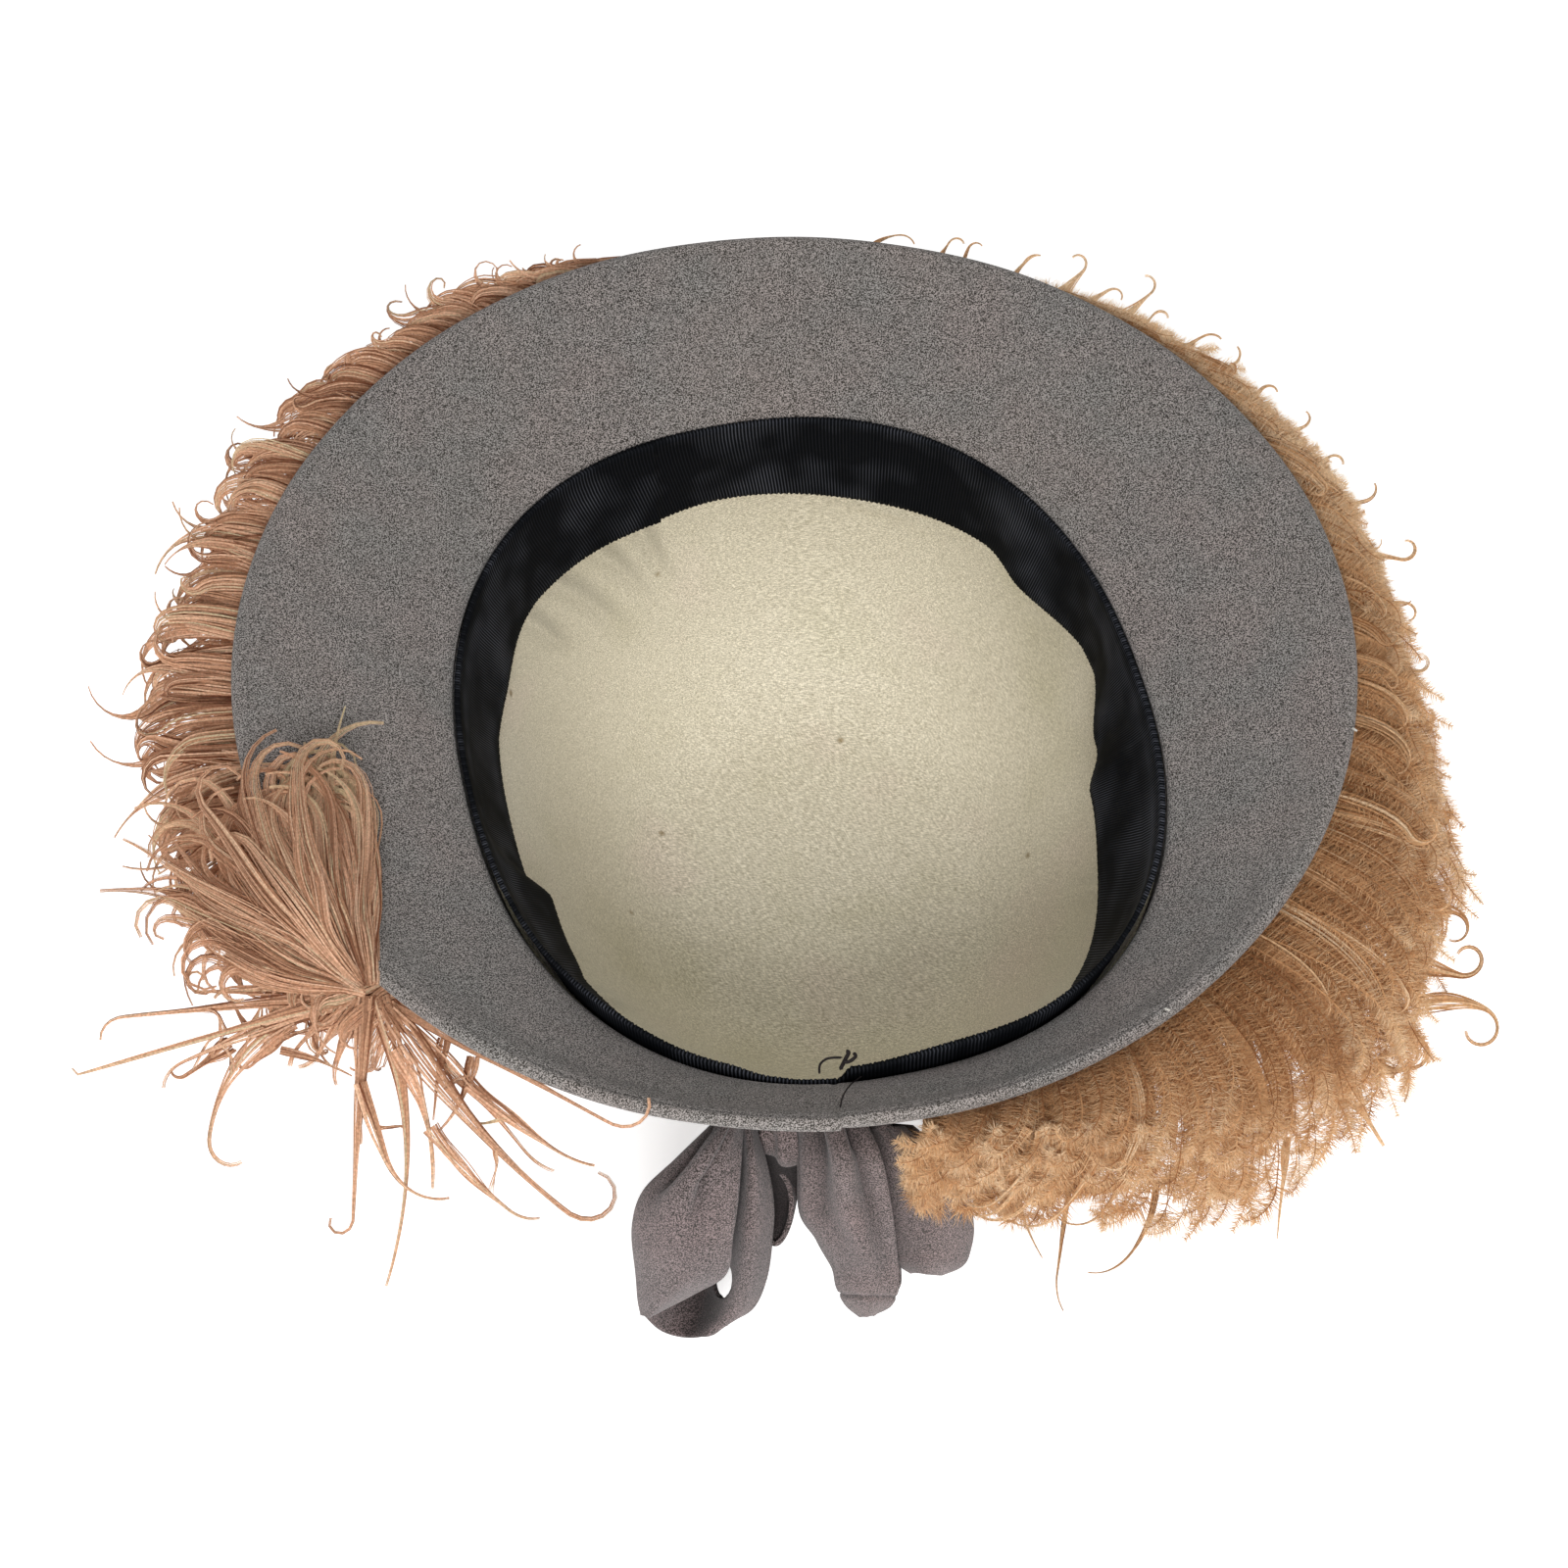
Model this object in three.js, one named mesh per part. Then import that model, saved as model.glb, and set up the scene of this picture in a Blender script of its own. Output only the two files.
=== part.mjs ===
// A feathered hat lying on its crown, with the head opening upward. Millimetres, +Z up.
// The front of the hat points along +Y, and its back, with the bow, along -Y.
// The origin is on the crown's flat tip, where the hat lies on a surface, straight below the
// middle of the head opening.
import * as THREE from 'three';
import { ParametricGeometry } from 'three/addons/geometries/ParametricGeometry.js';

// Head opening: an oval with rounded corners, turned a little about the vertical
const HEAD_HALF_WIDTH = 81.5;
const HEAD_HALF_LENGTH = 97.5;
const HEAD_SQUARENESS = 2.3;
const HEAD_TURN = THREE.MathUtils.degToRad(13);
const HEAD_LINE_Z = 88;

// Brim: its rim is a circle set forward of the head opening and 18 mm above the head line
const RIM_RADIUS = 131;
const RIM_CENTRE = new THREE.Vector2(-2.8, 11.8);
const RIM_RISE = 18;
const BRIM_DISH = 0.35;
const BRIM_THICKNESS = 2.6;
const RIM_BEAD_RADIUS = 2.2;

// Crown: a dome with a flat tip, whose deeper part leans to the front
const CROWN_TOP_EDGE_Z = 86.3;
const CROWN_WALL = 2.2;
const CROWN_TIP_SHARE = 0.4;
const CROWN_SIDE_POWER = 2.2;
const CROWN_DEPTH_POWER = 1.3;
const CROWN_LEAN = new THREE.Vector2(3.3, 16.2);
const CROWN_LEAN_DEPTH = 0.33;
const CROWN_LEAN_POWER = 1.6;

// Lining and sweatband inside the crown
const LINING_GAP = 0.4;
const LINING_WALL = 0.8;
const LINING_TOP_Z = 80;
const BAND_GAP = 0.55;
const BAND_WALL = 1;
const BAND_WIDTH = 25;
const BAND_FOOT_Z = HEAD_LINE_Z - BAND_WIDTH;
const BAND_SEAM_GAP = 0.6;
const BAND_SEAM_DEPTH = 3;

// Bow of folded crepe, and the plumes that lie along the brim
const RIBBON_WALL = 1.4;
const PLUME_GAP = 0.7;

// A round hat stands for the real one while the profiles are drawn: its head opening has
// HEAD_RING as radius and its rim has RIM_RADIUS. fitPlan then carries it to the real ovals.
const HEAD_RING = 90;
const RING_WIDTH = RIM_RADIUS - HEAD_RING;
const AROUND = 60;

const crepe = new THREE.MeshStandardMaterial({ color: 0x75706d, roughness: 0.9, metalness: 0 });
const bowCrepe = new THREE.MeshStandardMaterial({ color: 0x6e6263, roughness: 0.9, metalness: 0 });
const silk = new THREE.MeshStandardMaterial({ color: 0xcbc2a6, roughness: 0.6, metalness: 0 });
const grosgrain = new THREE.MeshStandardMaterial({ color: 0x121316, roughness: 0.8, metalness: 0 });
const ostrich = new THREE.MeshStandardMaterial({ color: 0xa07a58, roughness: 0.8, metalness: 0 });

// The outer radius that the crown's profile has on the round hat
const CROWN_RING = HEAD_RING + CROWN_WALL;

// How the sweatband stands: lean is how far its free lower edge comes in from the head
// opening, and rise is how far its upper edge stands over the head line.
const bandStance = [
  { direction: 0, lean: 12.5, rise: 1.5 },
  { direction: 12, lean: 7.6, rise: 1 },
  { direction: 31, lean: 0.5, rise: 1 },
  { direction: 50, lean: 4.4, rise: 1 },
  { direction: 60, lean: 0.8, rise: 1 },
  { direction: 81, lean: 2, rise: 1 },
  { direction: 102, lean: 0.4, rise: 1 },
  { direction: 120, lean: 3.4, rise: 1 },
  { direction: 137, lean: 3.8, rise: 1 },
  { direction: 158, lean: 8.2, rise: 1 },
  { direction: 182, lean: 7.2, rise: 1.2 },
  { direction: 196, lean: 7, rise: 1.6 },
  { direction: 207, lean: 14.2, rise: 2.4 },
  { direction: 220, lean: 13.6, rise: 3.6 },
  { direction: 240, lean: 9, rise: 5.6 },
  { direction: 260, lean: 6, rise: 3.2 },
  { direction: 270, lean: 5, rise: 1.6 },
  { direction: 280, lean: 5, rise: 5.2 },
  { direction: 290, lean: 6, rise: 7 },
  { direction: 305, lean: 8, rise: 5 },
  { direction: 320, lean: 11.2, rise: 4.2 },
  { direction: 345, lean: 13.2, rise: 2 },
];

// Plumes, from one end to the other. turn is the direction in degrees, inner the round hat's
// radius where the plume starts, over how far it stands past the rim, drop its lowest edge
// under the rim, and root its thickness at the inner edge.
const leftPlume = [
  { turn: 99, inner: 116, over: 2, drop: 13, root: 5 },
  { turn: 120, inner: 106, over: 11, drop: 24, root: 8 },
  { turn: 135, inner: 102, over: 17, drop: 31, root: 9 },
  { turn: 150, inner: 101, over: 20, drop: 35, root: 10 },
  { turn: 165, inner: 101, over: 21, drop: 38, root: 10 },
  { turn: 180, inner: 101, over: 22, drop: 40, root: 10 },
  { turn: 195, inner: 102, over: 23, drop: 42, root: 10 },
  { turn: 210, inner: 105, over: 22, drop: 44, root: 9 },
  { turn: 222, inner: 112, over: 12, drop: 42, root: 6 },
  { turn: 232, inner: 118, over: 4, drop: 34, root: 4 },
];
const rightPlume = [
  { turn: 75, inner: 116, over: 3, drop: 13, root: 5 },
  { turn: 60, inner: 106, over: 7, drop: 22, root: 8 },
  { turn: 45, inner: 102, over: 9, drop: 30, root: 9 },
  { turn: 30, inner: 101, over: 9, drop: 36, root: 10 },
  { turn: 15, inner: 101, over: 12, drop: 42, root: 10 },
  { turn: 0, inner: 101, over: 15, drop: 50, root: 11 },
  { turn: -15, inner: 101, over: 25, drop: 60, root: 12 },
  { turn: -30, inner: 102, over: 35, drop: 72, root: 13 },
  { turn: -45, inner: 104, over: 40, drop: 82, root: 14 },
  { turn: -57, inner: 107, over: 34, drop: 84, root: 12 },
  { turn: -69, inner: 112, over: 18, drop: 76, root: 8 },
];

// The tip of the left plume is turned up over the rim and lies on the brim's inner side.
// thick is how high it stands on the brim, over how far it reaches past the rim.
const plumeTip = [
  { turn: 179, inner: 116, over: 4, thick: 8 },
  { turn: 187, inner: 108, over: 10, thick: 10 },
  { turn: 194, inner: 105, over: 16, thick: 12 },
  { turn: 202, inner: 107, over: 17, thick: 12 },
  { turn: 210, inner: 112, over: 16, thick: 11 },
  { turn: 217, inner: 119, over: 12, thick: 9 },
  { turn: 224, inner: 121, over: 6, thick: 8 },
];

// The bow: a knot, two long loops that hang in front of it and two short ones behind them.
// top is where the ribbon leaves the knot and end the lowest point of the fold.
const knot = { centre: [-2.5, -103.6, 80], half: [9.5, 6.2, 6] };
const bowLoops = [
  { name: 'bow_loop_left', top: [-14.8, -111.7, 85], end: [-24, -119.5, 11], swell: 14, width: 30,
    neck: 0.42, turn: 10 },
  { name: 'bow_loop_right', top: [9.4, -111.6, 85], end: [14, -118, 22], swell: 10, width: 18,
    neck: 0.6, turn: -8 },
  { name: 'bow_loop_rear_left', top: [-4, -103.6, 72.9], end: [-7, -102, 40], swell: 8, width: 12,
    neck: 0.6, turn: 0 },
  { name: 'bow_loop_rear_right', top: [11.4, -103, 80], end: [30, -103, 32], swell: 9, width: 18,
    neck: 0.45, turn: -6 },
];

// Distance from the origin to the head opening in a direction
function headRadius(angle) {
  const across = Math.abs(Math.cos(angle - HEAD_TURN) / HEAD_HALF_WIDTH);
  const along = Math.abs(Math.sin(angle - HEAD_TURN) / HEAD_HALF_LENGTH);
  return (across ** HEAD_SQUARENESS + along ** HEAD_SQUARENESS) ** (-1 / HEAD_SQUARENESS);
}

// Distance from the origin to the rim's circle in a direction
function rimRadius(angle) {
  const offset = RIM_CENTRE.x * Math.cos(angle) + RIM_CENTRE.y * Math.sin(angle);
  return offset + Math.sqrt(RIM_RADIUS ** 2 - RIM_CENTRE.lengthSq() + offset ** 2);
}

// Real distance from the origin of a radius on the round hat
function planRadius(radius, angle) {
  const head = headRadius(angle);
  const rim = rimRadius(angle);
  if (radius <= HEAD_RING) return head * radius / HEAD_RING;
  if (radius >= RIM_RADIUS) return rim + radius - RIM_RADIUS;
  return THREE.MathUtils.lerp(head, rim, (radius - HEAD_RING) / RING_WIDTH);
}

// How far the crown has leaned at a height: nothing at the head line, all of it at the tip
function crownLean(z) {
  const depth = Math.max(0, 1 - z / HEAD_LINE_Z);
  const share = 1 - Math.exp(-((depth / CROWN_LEAN_DEPTH) ** CROWN_LEAN_POWER));
  return CROWN_LEAN.clone().multiplyScalar(share);
}

// Carries a geometry of the round hat to the real plan; leaning pieces follow the crown
function fitPlan(geometry, leaning) {
  const position = geometry.getAttribute('position');
  for (let i = 0; i < position.count; i += 1) {
    const angle = Math.atan2(position.getY(i), position.getX(i));
    const radius = planRadius(Math.hypot(position.getX(i), position.getY(i)), angle);
    const lean = leaning ? crownLean(position.getZ(i)) : new THREE.Vector2();
    position.setX(i, radius * Math.cos(angle) + lean.x);
    position.setY(i, radius * Math.sin(angle) + lean.y);
  }
  geometry.computeVertexNormals();
  return geometry;
}

// Turns a closed profile of { r, z } points round the upright axis
function turned(profile) {
  const points = profile.map(({ r, z }) => new THREE.Vector2(r, z));
  return new THREE.LatheGeometry(points, AROUND).rotateX(Math.PI / 2);
}

// Value of one column of a table at a position, with smooth steps between its rows
function readColumn(rows, key, column, at) {
  const rising = rows[rows.length - 1][key] > rows[0][key];
  const ordered = rising ? rows : [...rows].reverse();
  const next = ordered.findIndex((row) => row[key] >= at);
  if (next < 0) return ordered[ordered.length - 1][column];
  if (next === 0) return ordered[0][column];
  const [a, b] = [ordered[next - 1], ordered[next]];
  const share = THREE.MathUtils.smoothstep(at, a[key], b[key]);
  return THREE.MathUtils.lerp(a[column], b[column], share);
}

// Brim's middle surface on the round hat, and its slope
function brimHeight(radius) {
  const s = (radius - HEAD_RING) / RING_WIDTH;
  return HEAD_LINE_Z + RIM_RISE * ((1 + BRIM_DISH) * s - BRIM_DISH * s * s);
}
function brimSlope(radius) {
  const s = (radius - HEAD_RING) / RING_WIDTH;
  return RIM_RISE * (1 + BRIM_DISH - 2 * BRIM_DISH * s) / RING_WIDTH;
}

// A point of the brim's inner side (side 1, which faces up here) or outer side (side -1)
function brimFace(radius, side, gap = 0) {
  const slope = brimSlope(radius);
  const reach = side * (BRIM_THICKNESS / 2 + gap) / Math.hypot(1, slope);
  return { r: radius - slope * reach, z: brimHeight(radius) + reach };
}

// The crown's outer profile, moved inward by an inset; share runs from tip to head line.
// Its depth and its radius follow a superellipse that starts at the edge of the flat tip.
function crownProfile(share, inset) {
  const at = (s) => {
    const turn = s * Math.PI / 2;
    const side = Math.sin(turn) ** (2 / CROWN_SIDE_POWER);
    const depth = Math.cos(turn) ** (2 / CROWN_DEPTH_POWER);
    const r = CROWN_RING * (CROWN_TIP_SHARE + (1 - CROWN_TIP_SHARE) * side);
    return new THREE.Vector2(r, CROWN_TOP_EDGE_Z * (1 - depth));
  };
  const step = 0.004;
  const along = at(Math.min(1, share + step)).sub(at(Math.max(0, share - step))).normalize();
  const point = at(share);
  return { r: point.x - along.y * inset, z: point.y + along.x * inset };
}

// A cup that follows the crown between two insets, from the axis to the height of its edge
function cup(outerInset, innerInset, edgeZ) {
  const steps = 9;
  const wall = (inset) => {
    const points = [{ r: 0, z: inset }];
    for (let i = 0; i <= steps; i += 1) {
      const point = crownProfile(i / steps, inset);
      if (point.z < edgeZ - 1) points.push(point);
    }
    points.push({ r: edgeRadius(edgeZ, inset), z: edgeZ });
    return points;
  };
  return turned([...wall(outerInset), ...wall(innerInset).reverse()]);
}

// Radius of the inset crown profile at a height
function edgeRadius(z, inset) {
  let low = 0;
  let high = 1;
  for (let i = 0; i < 30; i += 1) {
    const middle = (low + high) / 2;
    if (crownProfile(middle, inset).z < z) low = middle;
    else high = middle;
  }
  return crownProfile(low, inset).r;
}

function makeCrown() {
  return fitPlan(cup(0, CROWN_WALL, CROWN_TOP_EDGE_Z - 0.001), true);
}

function makeLining() {
  const outer = CROWN_WALL + LINING_GAP;
  return fitPlan(cup(outer, outer + LINING_WALL, LINING_TOP_Z), true);
}

// The brim is a thin ring whose outer edge is rolled round a wire
function makeBrim() {
  const beadCentre = { r: RIM_RADIUS - RIM_BEAD_RADIUS, z: HEAD_LINE_Z + RIM_RISE };
  const radii = [HEAD_RING, 97, 104, 111, 118, 124.6];
  const bead = [-150, -110, -65, -20, 20, 65, 110, 150].map((degrees) => {
    const turn = THREE.MathUtils.degToRad(degrees);
    return {
      r: beadCentre.r + RIM_BEAD_RADIUS * Math.cos(turn),
      z: beadCentre.z + RIM_BEAD_RADIUS * Math.sin(turn),
    };
  });
  const under = radii.map((radius) => brimFace(radius, -1));
  const upper = radii.map((radius) => brimFace(radius, 1)).reverse();
  under[0].r = HEAD_RING;
  upper[upper.length - 1].r = HEAD_RING;
  return fitPlan(turned([...under, ...bead, ...upper, under[0]]), false);
}

// The sweatband is a ribbon sewn in at its upper edge. Below the head line it lies on the
// lining, or hangs free of it where the stance leans further in.
function makeSweatband() {
  const outerInset = CROWN_WALL + LINING_GAP + LINING_WALL + BAND_GAP;
  const sewnRadius = HEAD_RING - BAND_SEAM_GAP;
  const heights = [0, 0.24, 0.48, 0.72, 0.88, 1].map((share) => BAND_FOOT_Z + BAND_WIDTH * share);
  const face = (inset, thickness) => heights.map((z) => {
    const sewn = THREE.MathUtils.smoothstep(z, LINING_TOP_Z, HEAD_LINE_Z - BAND_SEAM_DEPTH);
    const laid = edgeRadius(Math.min(z, CROWN_TOP_EDGE_Z - 1), inset);
    return { r: THREE.MathUtils.lerp(laid, sewnRadius - thickness, sewn), z };
  });
  const outer = face(outerInset, 0);
  const inner = face(outerInset + BAND_WALL, BAND_WALL).reverse();
  const geometry = fitPlan(turned([...outer, ...inner, outer[0]]), true);
  const stance = [...bandStance, { ...bandStance[0], direction: 360 }];
  const position = geometry.getAttribute('position');
  for (let i = 0; i < position.count; i += 1) {
    const z = position.getZ(i);
    const column = i % (2 * heights.length + 1);
    const inside = column >= heights.length && column < 2 * heights.length;
    const angle = Math.atan2(position.getY(i), position.getX(i));
    const degrees = (THREE.MathUtils.radToDeg(angle) + 360) % 360;
    const lean = readColumn(stance, 'direction', 'lean', degrees);
    const rise = readColumn(stance, 'direction', 'rise', degrees);
    const down = Math.max(0, (HEAD_LINE_Z - z) / BAND_WIDTH);
    const hung = headRadius(angle) - BAND_SEAM_GAP - lean * down - (inside ? BAND_WALL : 0);
    const radius = Math.min(Math.hypot(position.getX(i), position.getY(i)), hung);
    const lift = rise * THREE.MathUtils.smoothstep(z, LINING_TOP_Z + 2, HEAD_LINE_Z);
    position.setXYZ(i, radius * Math.cos(angle), radius * Math.sin(angle), z + lift);
  }
  geometry.computeVertexNormals();
  return geometry;
}

// A solid swept round the hat through the sections of a table. section(row) gives a closed
// outline of { r, z } points and a heart that sees all of it, to which both ends close.
function sweptRound(rows, section) {
  const first = Math.min(...rows.map((row) => row.turn));
  const last = Math.max(...rows.map((row) => row.turn));
  const slices = Math.max(8, Math.round((last - first) / 5.5));
  const count = section(rows[0]).outline.length;
  const geometry = new ParametricGeometry((u, v, target) => {
    const turn = THREE.MathUtils.lerp(first, last, u);
    const row = {};
    for (const column of Object.keys(rows[0])) row[column] = readColumn(rows, 'turn', column, turn);
    const { outline, heart } = section(row);
    const point = outline[Math.round((1 - v) * count) % count];
    const full = Math.min(1, 2.8 * Math.sqrt(Math.min(u, 1 - u)));
    const r = THREE.MathUtils.lerp(heart.r, point.r, full);
    const z = THREE.MathUtils.lerp(heart.z, point.z, full);
    const angle = THREE.MathUtils.degToRad(turn);
    target.set(r * Math.cos(angle), r * Math.sin(angle), z);
  }, slices, count);
  return fitPlan(geometry, false);
}

// Outline of a plume that lies on the brim's outer side and hangs past the rim
function plumeSection({ inner, over, drop, root }) {
  const rimZ = HEAD_LINE_Z + RIM_RISE;
  const clear = rimZ - RIM_BEAD_RADIUS - PLUME_GAP;
  const innerTop = brimFace(inner, -1, PLUME_GAP);
  const middleTop = brimFace(THREE.MathUtils.lerp(inner, 126, 0.55), -1, PLUME_GAP);
  const beadTop = brimFace(125.5, -1, PLUME_GAP + 0.3);
  const heart = { r: RIM_RADIUS - 3, z: rimZ - 3 - drop * 0.45 };
  const outline = [
    innerTop,
    middleTop,
    beadTop,
    { r: RIM_RADIUS + 0.5, z: clear - 0.3 },
    { r: RIM_RADIUS + over * 0.7, z: clear - 0.6 },
    { r: RIM_RADIUS + over, z: rimZ - 4 - drop * 0.25 },
    { r: RIM_RADIUS + over * 0.85, z: rimZ - 3 - drop * 0.6 },
    { r: RIM_RADIUS + over * 0.4, z: rimZ - 1 - drop * 0.9 },
    { r: RIM_RADIUS - 4, z: rimZ - drop },
    { r: THREE.MathUtils.lerp(inner, RIM_RADIUS - 4, 0.5), z: rimZ - drop * 0.82 - 4 },
    { r: inner, z: innerTop.z - root },
  ];
  return { outline, heart };
}

// Outline of the plume's tip, which lies on the brim's inner side and reaches past the rim
function tipSection({ inner, over, thick }) {
  const rimZ = HEAD_LINE_Z + RIM_RISE;
  const innerFoot = brimFace(inner, 1, PLUME_GAP);
  const middleFoot = brimFace(THREE.MathUtils.lerp(inner, 125, 0.5), 1, PLUME_GAP);
  const heart = { r: RIM_RADIUS, z: rimZ + 3.8 };
  const outline = [
    innerFoot,
    { r: inner + 0.5, z: innerFoot.z + thick * 0.55 },
    { r: THREE.MathUtils.lerp(inner, 128, 0.45), z: middleFoot.z + thick * 0.95 },
    { r: 128, z: rimZ + 0.6 + thick * 0.85 },
    { r: RIM_RADIUS + over * 0.7, z: rimZ + thick * 0.5 },
    { r: RIM_RADIUS + over, z: rimZ + 1 },
    { r: RIM_RADIUS + over * 0.9, z: rimZ - 1.6 },
    { r: RIM_RADIUS + 1.2, z: rimZ - 1.4 },
    { r: RIM_RADIUS + 0.8, z: rimZ + 1 },
    { r: 129.6, z: rimZ + RIM_BEAD_RADIUS + PLUME_GAP },
    { r: 126, z: rimZ + RIM_BEAD_RADIUS + PLUME_GAP - 0.2 },
    middleFoot,
  ];
  return { outline, heart };
}

// A closed loop of ribbon: a drop-shaped path from its top to its end, with the ribbon's
// width across it, narrow at the knot and full at the fold
function makeLoop({ top, end, swell, width, neck, turn }) {
  const start = new THREE.Vector3(...top);
  const down = new THREE.Vector3(...end).sub(start);
  const length = down.length();
  down.normalize();
  const out = new THREE.Vector3(0, -1, 0);
  out.addScaledVector(down, -out.dot(down)).normalize();
  const half = [
    { along: 0, out: 0 },
    { along: 2.2 / length, out: 2.2 / swell },
    { along: 0.4, out: 0.36 },
    { along: 0.75, out: 0.5 },
    { along: 0.95, out: 0.32 },
  ];
  const path = new THREE.CatmullRomCurve3([
    ...half.map((p) => new THREE.Vector3(p.along * length, p.out * swell, 0)),
    new THREE.Vector3(length, 0, 0),
    ...half.slice(1).reverse().map((p) => new THREE.Vector3(p.along * length, -p.out * swell, 0)),
  ], true, 'centripetal');
  const across = [-1, -0.6, -0.2, 0.2, 0.6, 1];
  const sides = across.length * 2;
  const geometry = new ParametricGeometry((u, v, target) => {
    const point = path.getPoint(u % 1);
    const ahead = path.getTangent(u % 1);
    const full = THREE.MathUtils.smoothstep(point.x / length, 0, 0.55);
    const corner = Math.round((1 - v) * sides) % sides;
    const front = corner < across.length;
    const share = front ? across[corner] : across[sides - 1 - corner];
    const wall = (front ? 0.5 : -0.5) * RIBBON_WALL;
    const fold = 0.8 * Math.cos(share * Math.PI * 1.5) * (1 - full) * Math.sign(point.y || 1);
    const lift = wall + fold * Math.min(1, Math.abs(point.y) / 2);
    const side = share * width / 2 * THREE.MathUtils.lerp(neck, 1, full);
    const twist = THREE.MathUtils.degToRad(turn) * full;
    const outward = out.clone().applyAxisAngle(down, twist);
    const sideways = new THREE.Vector3().crossVectors(down, outward);
    target.copy(start);
    target.addScaledVector(down, point.x - ahead.y * lift);
    target.addScaledVector(outward, point.y + ahead.x * lift);
    target.addScaledVector(sideways, side);
  }, 26, sides);
  geometry.computeVertexNormals();
  return geometry;
}

function makeKnot() {
  const geometry = new THREE.SphereGeometry(1, 20, 12);
  geometry.scale(...knot.half);
  return geometry.translate(...knot.centre);
}

const hat = new THREE.Group();
function add(name, geometry, material) {
  const mesh = new THREE.Mesh(geometry, material);
  mesh.name = name;
  hat.add(mesh);
}

add('crown', makeCrown(), crepe);
add('brim', makeBrim(), crepe);
add('lining', makeLining(), silk);
add('sweatband', makeSweatband(), grosgrain);
add('bow_knot', makeKnot(), bowCrepe);
for (const loop of bowLoops) add(loop.name, makeLoop(loop), bowCrepe);
add('plume_left', sweptRound(leftPlume, plumeSection), ostrich);
add('plume_right', sweptRound(rightPlume, plumeSection), ostrich);
add('plume_left_tip', sweptRound(plumeTip, tipSection), ostrich);

export default hat;
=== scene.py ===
"""A feathered hat that lies on its crown, with the head opening up.

Lengths in the classes below are millimetres, and a mesh is put into metres when it is made.
The round hat is a plan whose head opening has the radius 90 and whose rim has the radius 131.
HatPlan carries it to the real ovals, so a place on the brim is a nominal radius and a turn.
"""
import logging
import math
from dataclasses import astuple, dataclass
from enum import Enum

import bmesh
import bpy
import numpy as np
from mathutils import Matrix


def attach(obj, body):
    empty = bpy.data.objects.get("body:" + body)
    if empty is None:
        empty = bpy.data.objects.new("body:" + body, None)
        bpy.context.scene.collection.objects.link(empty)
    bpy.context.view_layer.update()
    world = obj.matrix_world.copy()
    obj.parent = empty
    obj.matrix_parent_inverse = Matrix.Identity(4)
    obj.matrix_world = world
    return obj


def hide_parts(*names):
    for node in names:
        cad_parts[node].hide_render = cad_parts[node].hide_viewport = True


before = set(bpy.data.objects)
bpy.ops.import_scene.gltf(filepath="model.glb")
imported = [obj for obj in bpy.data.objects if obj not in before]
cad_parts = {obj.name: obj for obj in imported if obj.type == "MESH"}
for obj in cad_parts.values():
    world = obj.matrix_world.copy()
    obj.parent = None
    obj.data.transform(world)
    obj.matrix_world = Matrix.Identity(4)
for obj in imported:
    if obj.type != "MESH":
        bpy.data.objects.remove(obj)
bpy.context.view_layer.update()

MM = 0.001
TO_EYE = (0.0, -0.588, 0.809)
FEATHER_BACK = -144.0
RIBS = 690
RIBBON_LENGTH = 0.565
log = logging.getLogger("feathered_hat")

Array = np.ndarray
Colour = tuple[float, float, float]
Pixel = tuple[float, float]
WHITE: Colour = (1.0, 1.0, 1.0)


def smoothstep(value: Array, low: float, high: float) -> Array:
    """Rises from 0 at low to 1 at high as 3t^2 - 2t^3.

    Args:
        value: Where the step is read.
        low: Value at which it starts.
        high: Value at which it ends.

    Returns:
        The step, between 0 and 1.
    """
    t = np.clip((np.asarray(value, float) - low) / (high - low), 0.0, 1.0)
    return t * t * (3.0 - 2.0 * t)


def unit(vectors: Array) -> Array:
    """Scales vectors on the last axis to length 1."""
    return vectors / np.maximum(np.linalg.norm(vectors, axis=-1, keepdims=True), 1e-9)


def column(rows: tuple, key: str, name: str, at: Array) -> Array:
    """Reads one column of a table of rows, with smooth steps between its rows.

    Args:
        rows: Dataclass rows in rising order of key.
        key: Field that the rows are ordered by.
        name: Field to read.
        at: Values of key.

    Returns:
        The column's value at each place, flat outside the table.
    """
    keys = np.array([getattr(row, key) for row in rows], float)
    values = np.array([getattr(row, name) for row in rows], float)
    at = np.asarray(at, float)
    low = np.clip(np.searchsorted(keys, at, side="right") - 1, 0, len(keys) - 2)
    t = np.clip((at - keys[low]) / (keys[low + 1] - keys[low]), 0.0, 1.0)
    t = t * t * (3.0 - 2.0 * t)
    return values[low] * (1.0 - t) + values[low + 1] * t


def through(points: Array, count: int) -> Array:
    """Smooth curve through points on the second last axis.

    Each span is the cubic whose slope at a point is half the step between its neighbours.

    Args:
        points: Array (..., P, 3) of points to pass through.
        count: Number of places along the curve.

    Returns:
        Array (..., count, 3).
    """
    points = np.asarray(points, float)
    spans = points.shape[-2] - 1
    first = 2 * points[..., :1, :] - points[..., 1:2, :]
    last = 2 * points[..., -1:, :] - points[..., -2:-1, :]
    padded = np.concatenate([first, points, last], axis=-2)
    place = np.linspace(0.0, spans, count)
    span = np.minimum(place.astype(int), spans - 1)
    t = (place - span)[:, None]
    a, b, c, d = (padded[..., span + shift, :] for shift in range(4))
    bend = 2 * a - 5 * b + 4 * c - d
    return 0.5 * (2 * b + (c - a) * t + bend * t**2 + (3 * b - a - 3 * c + d) * t**3)


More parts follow.
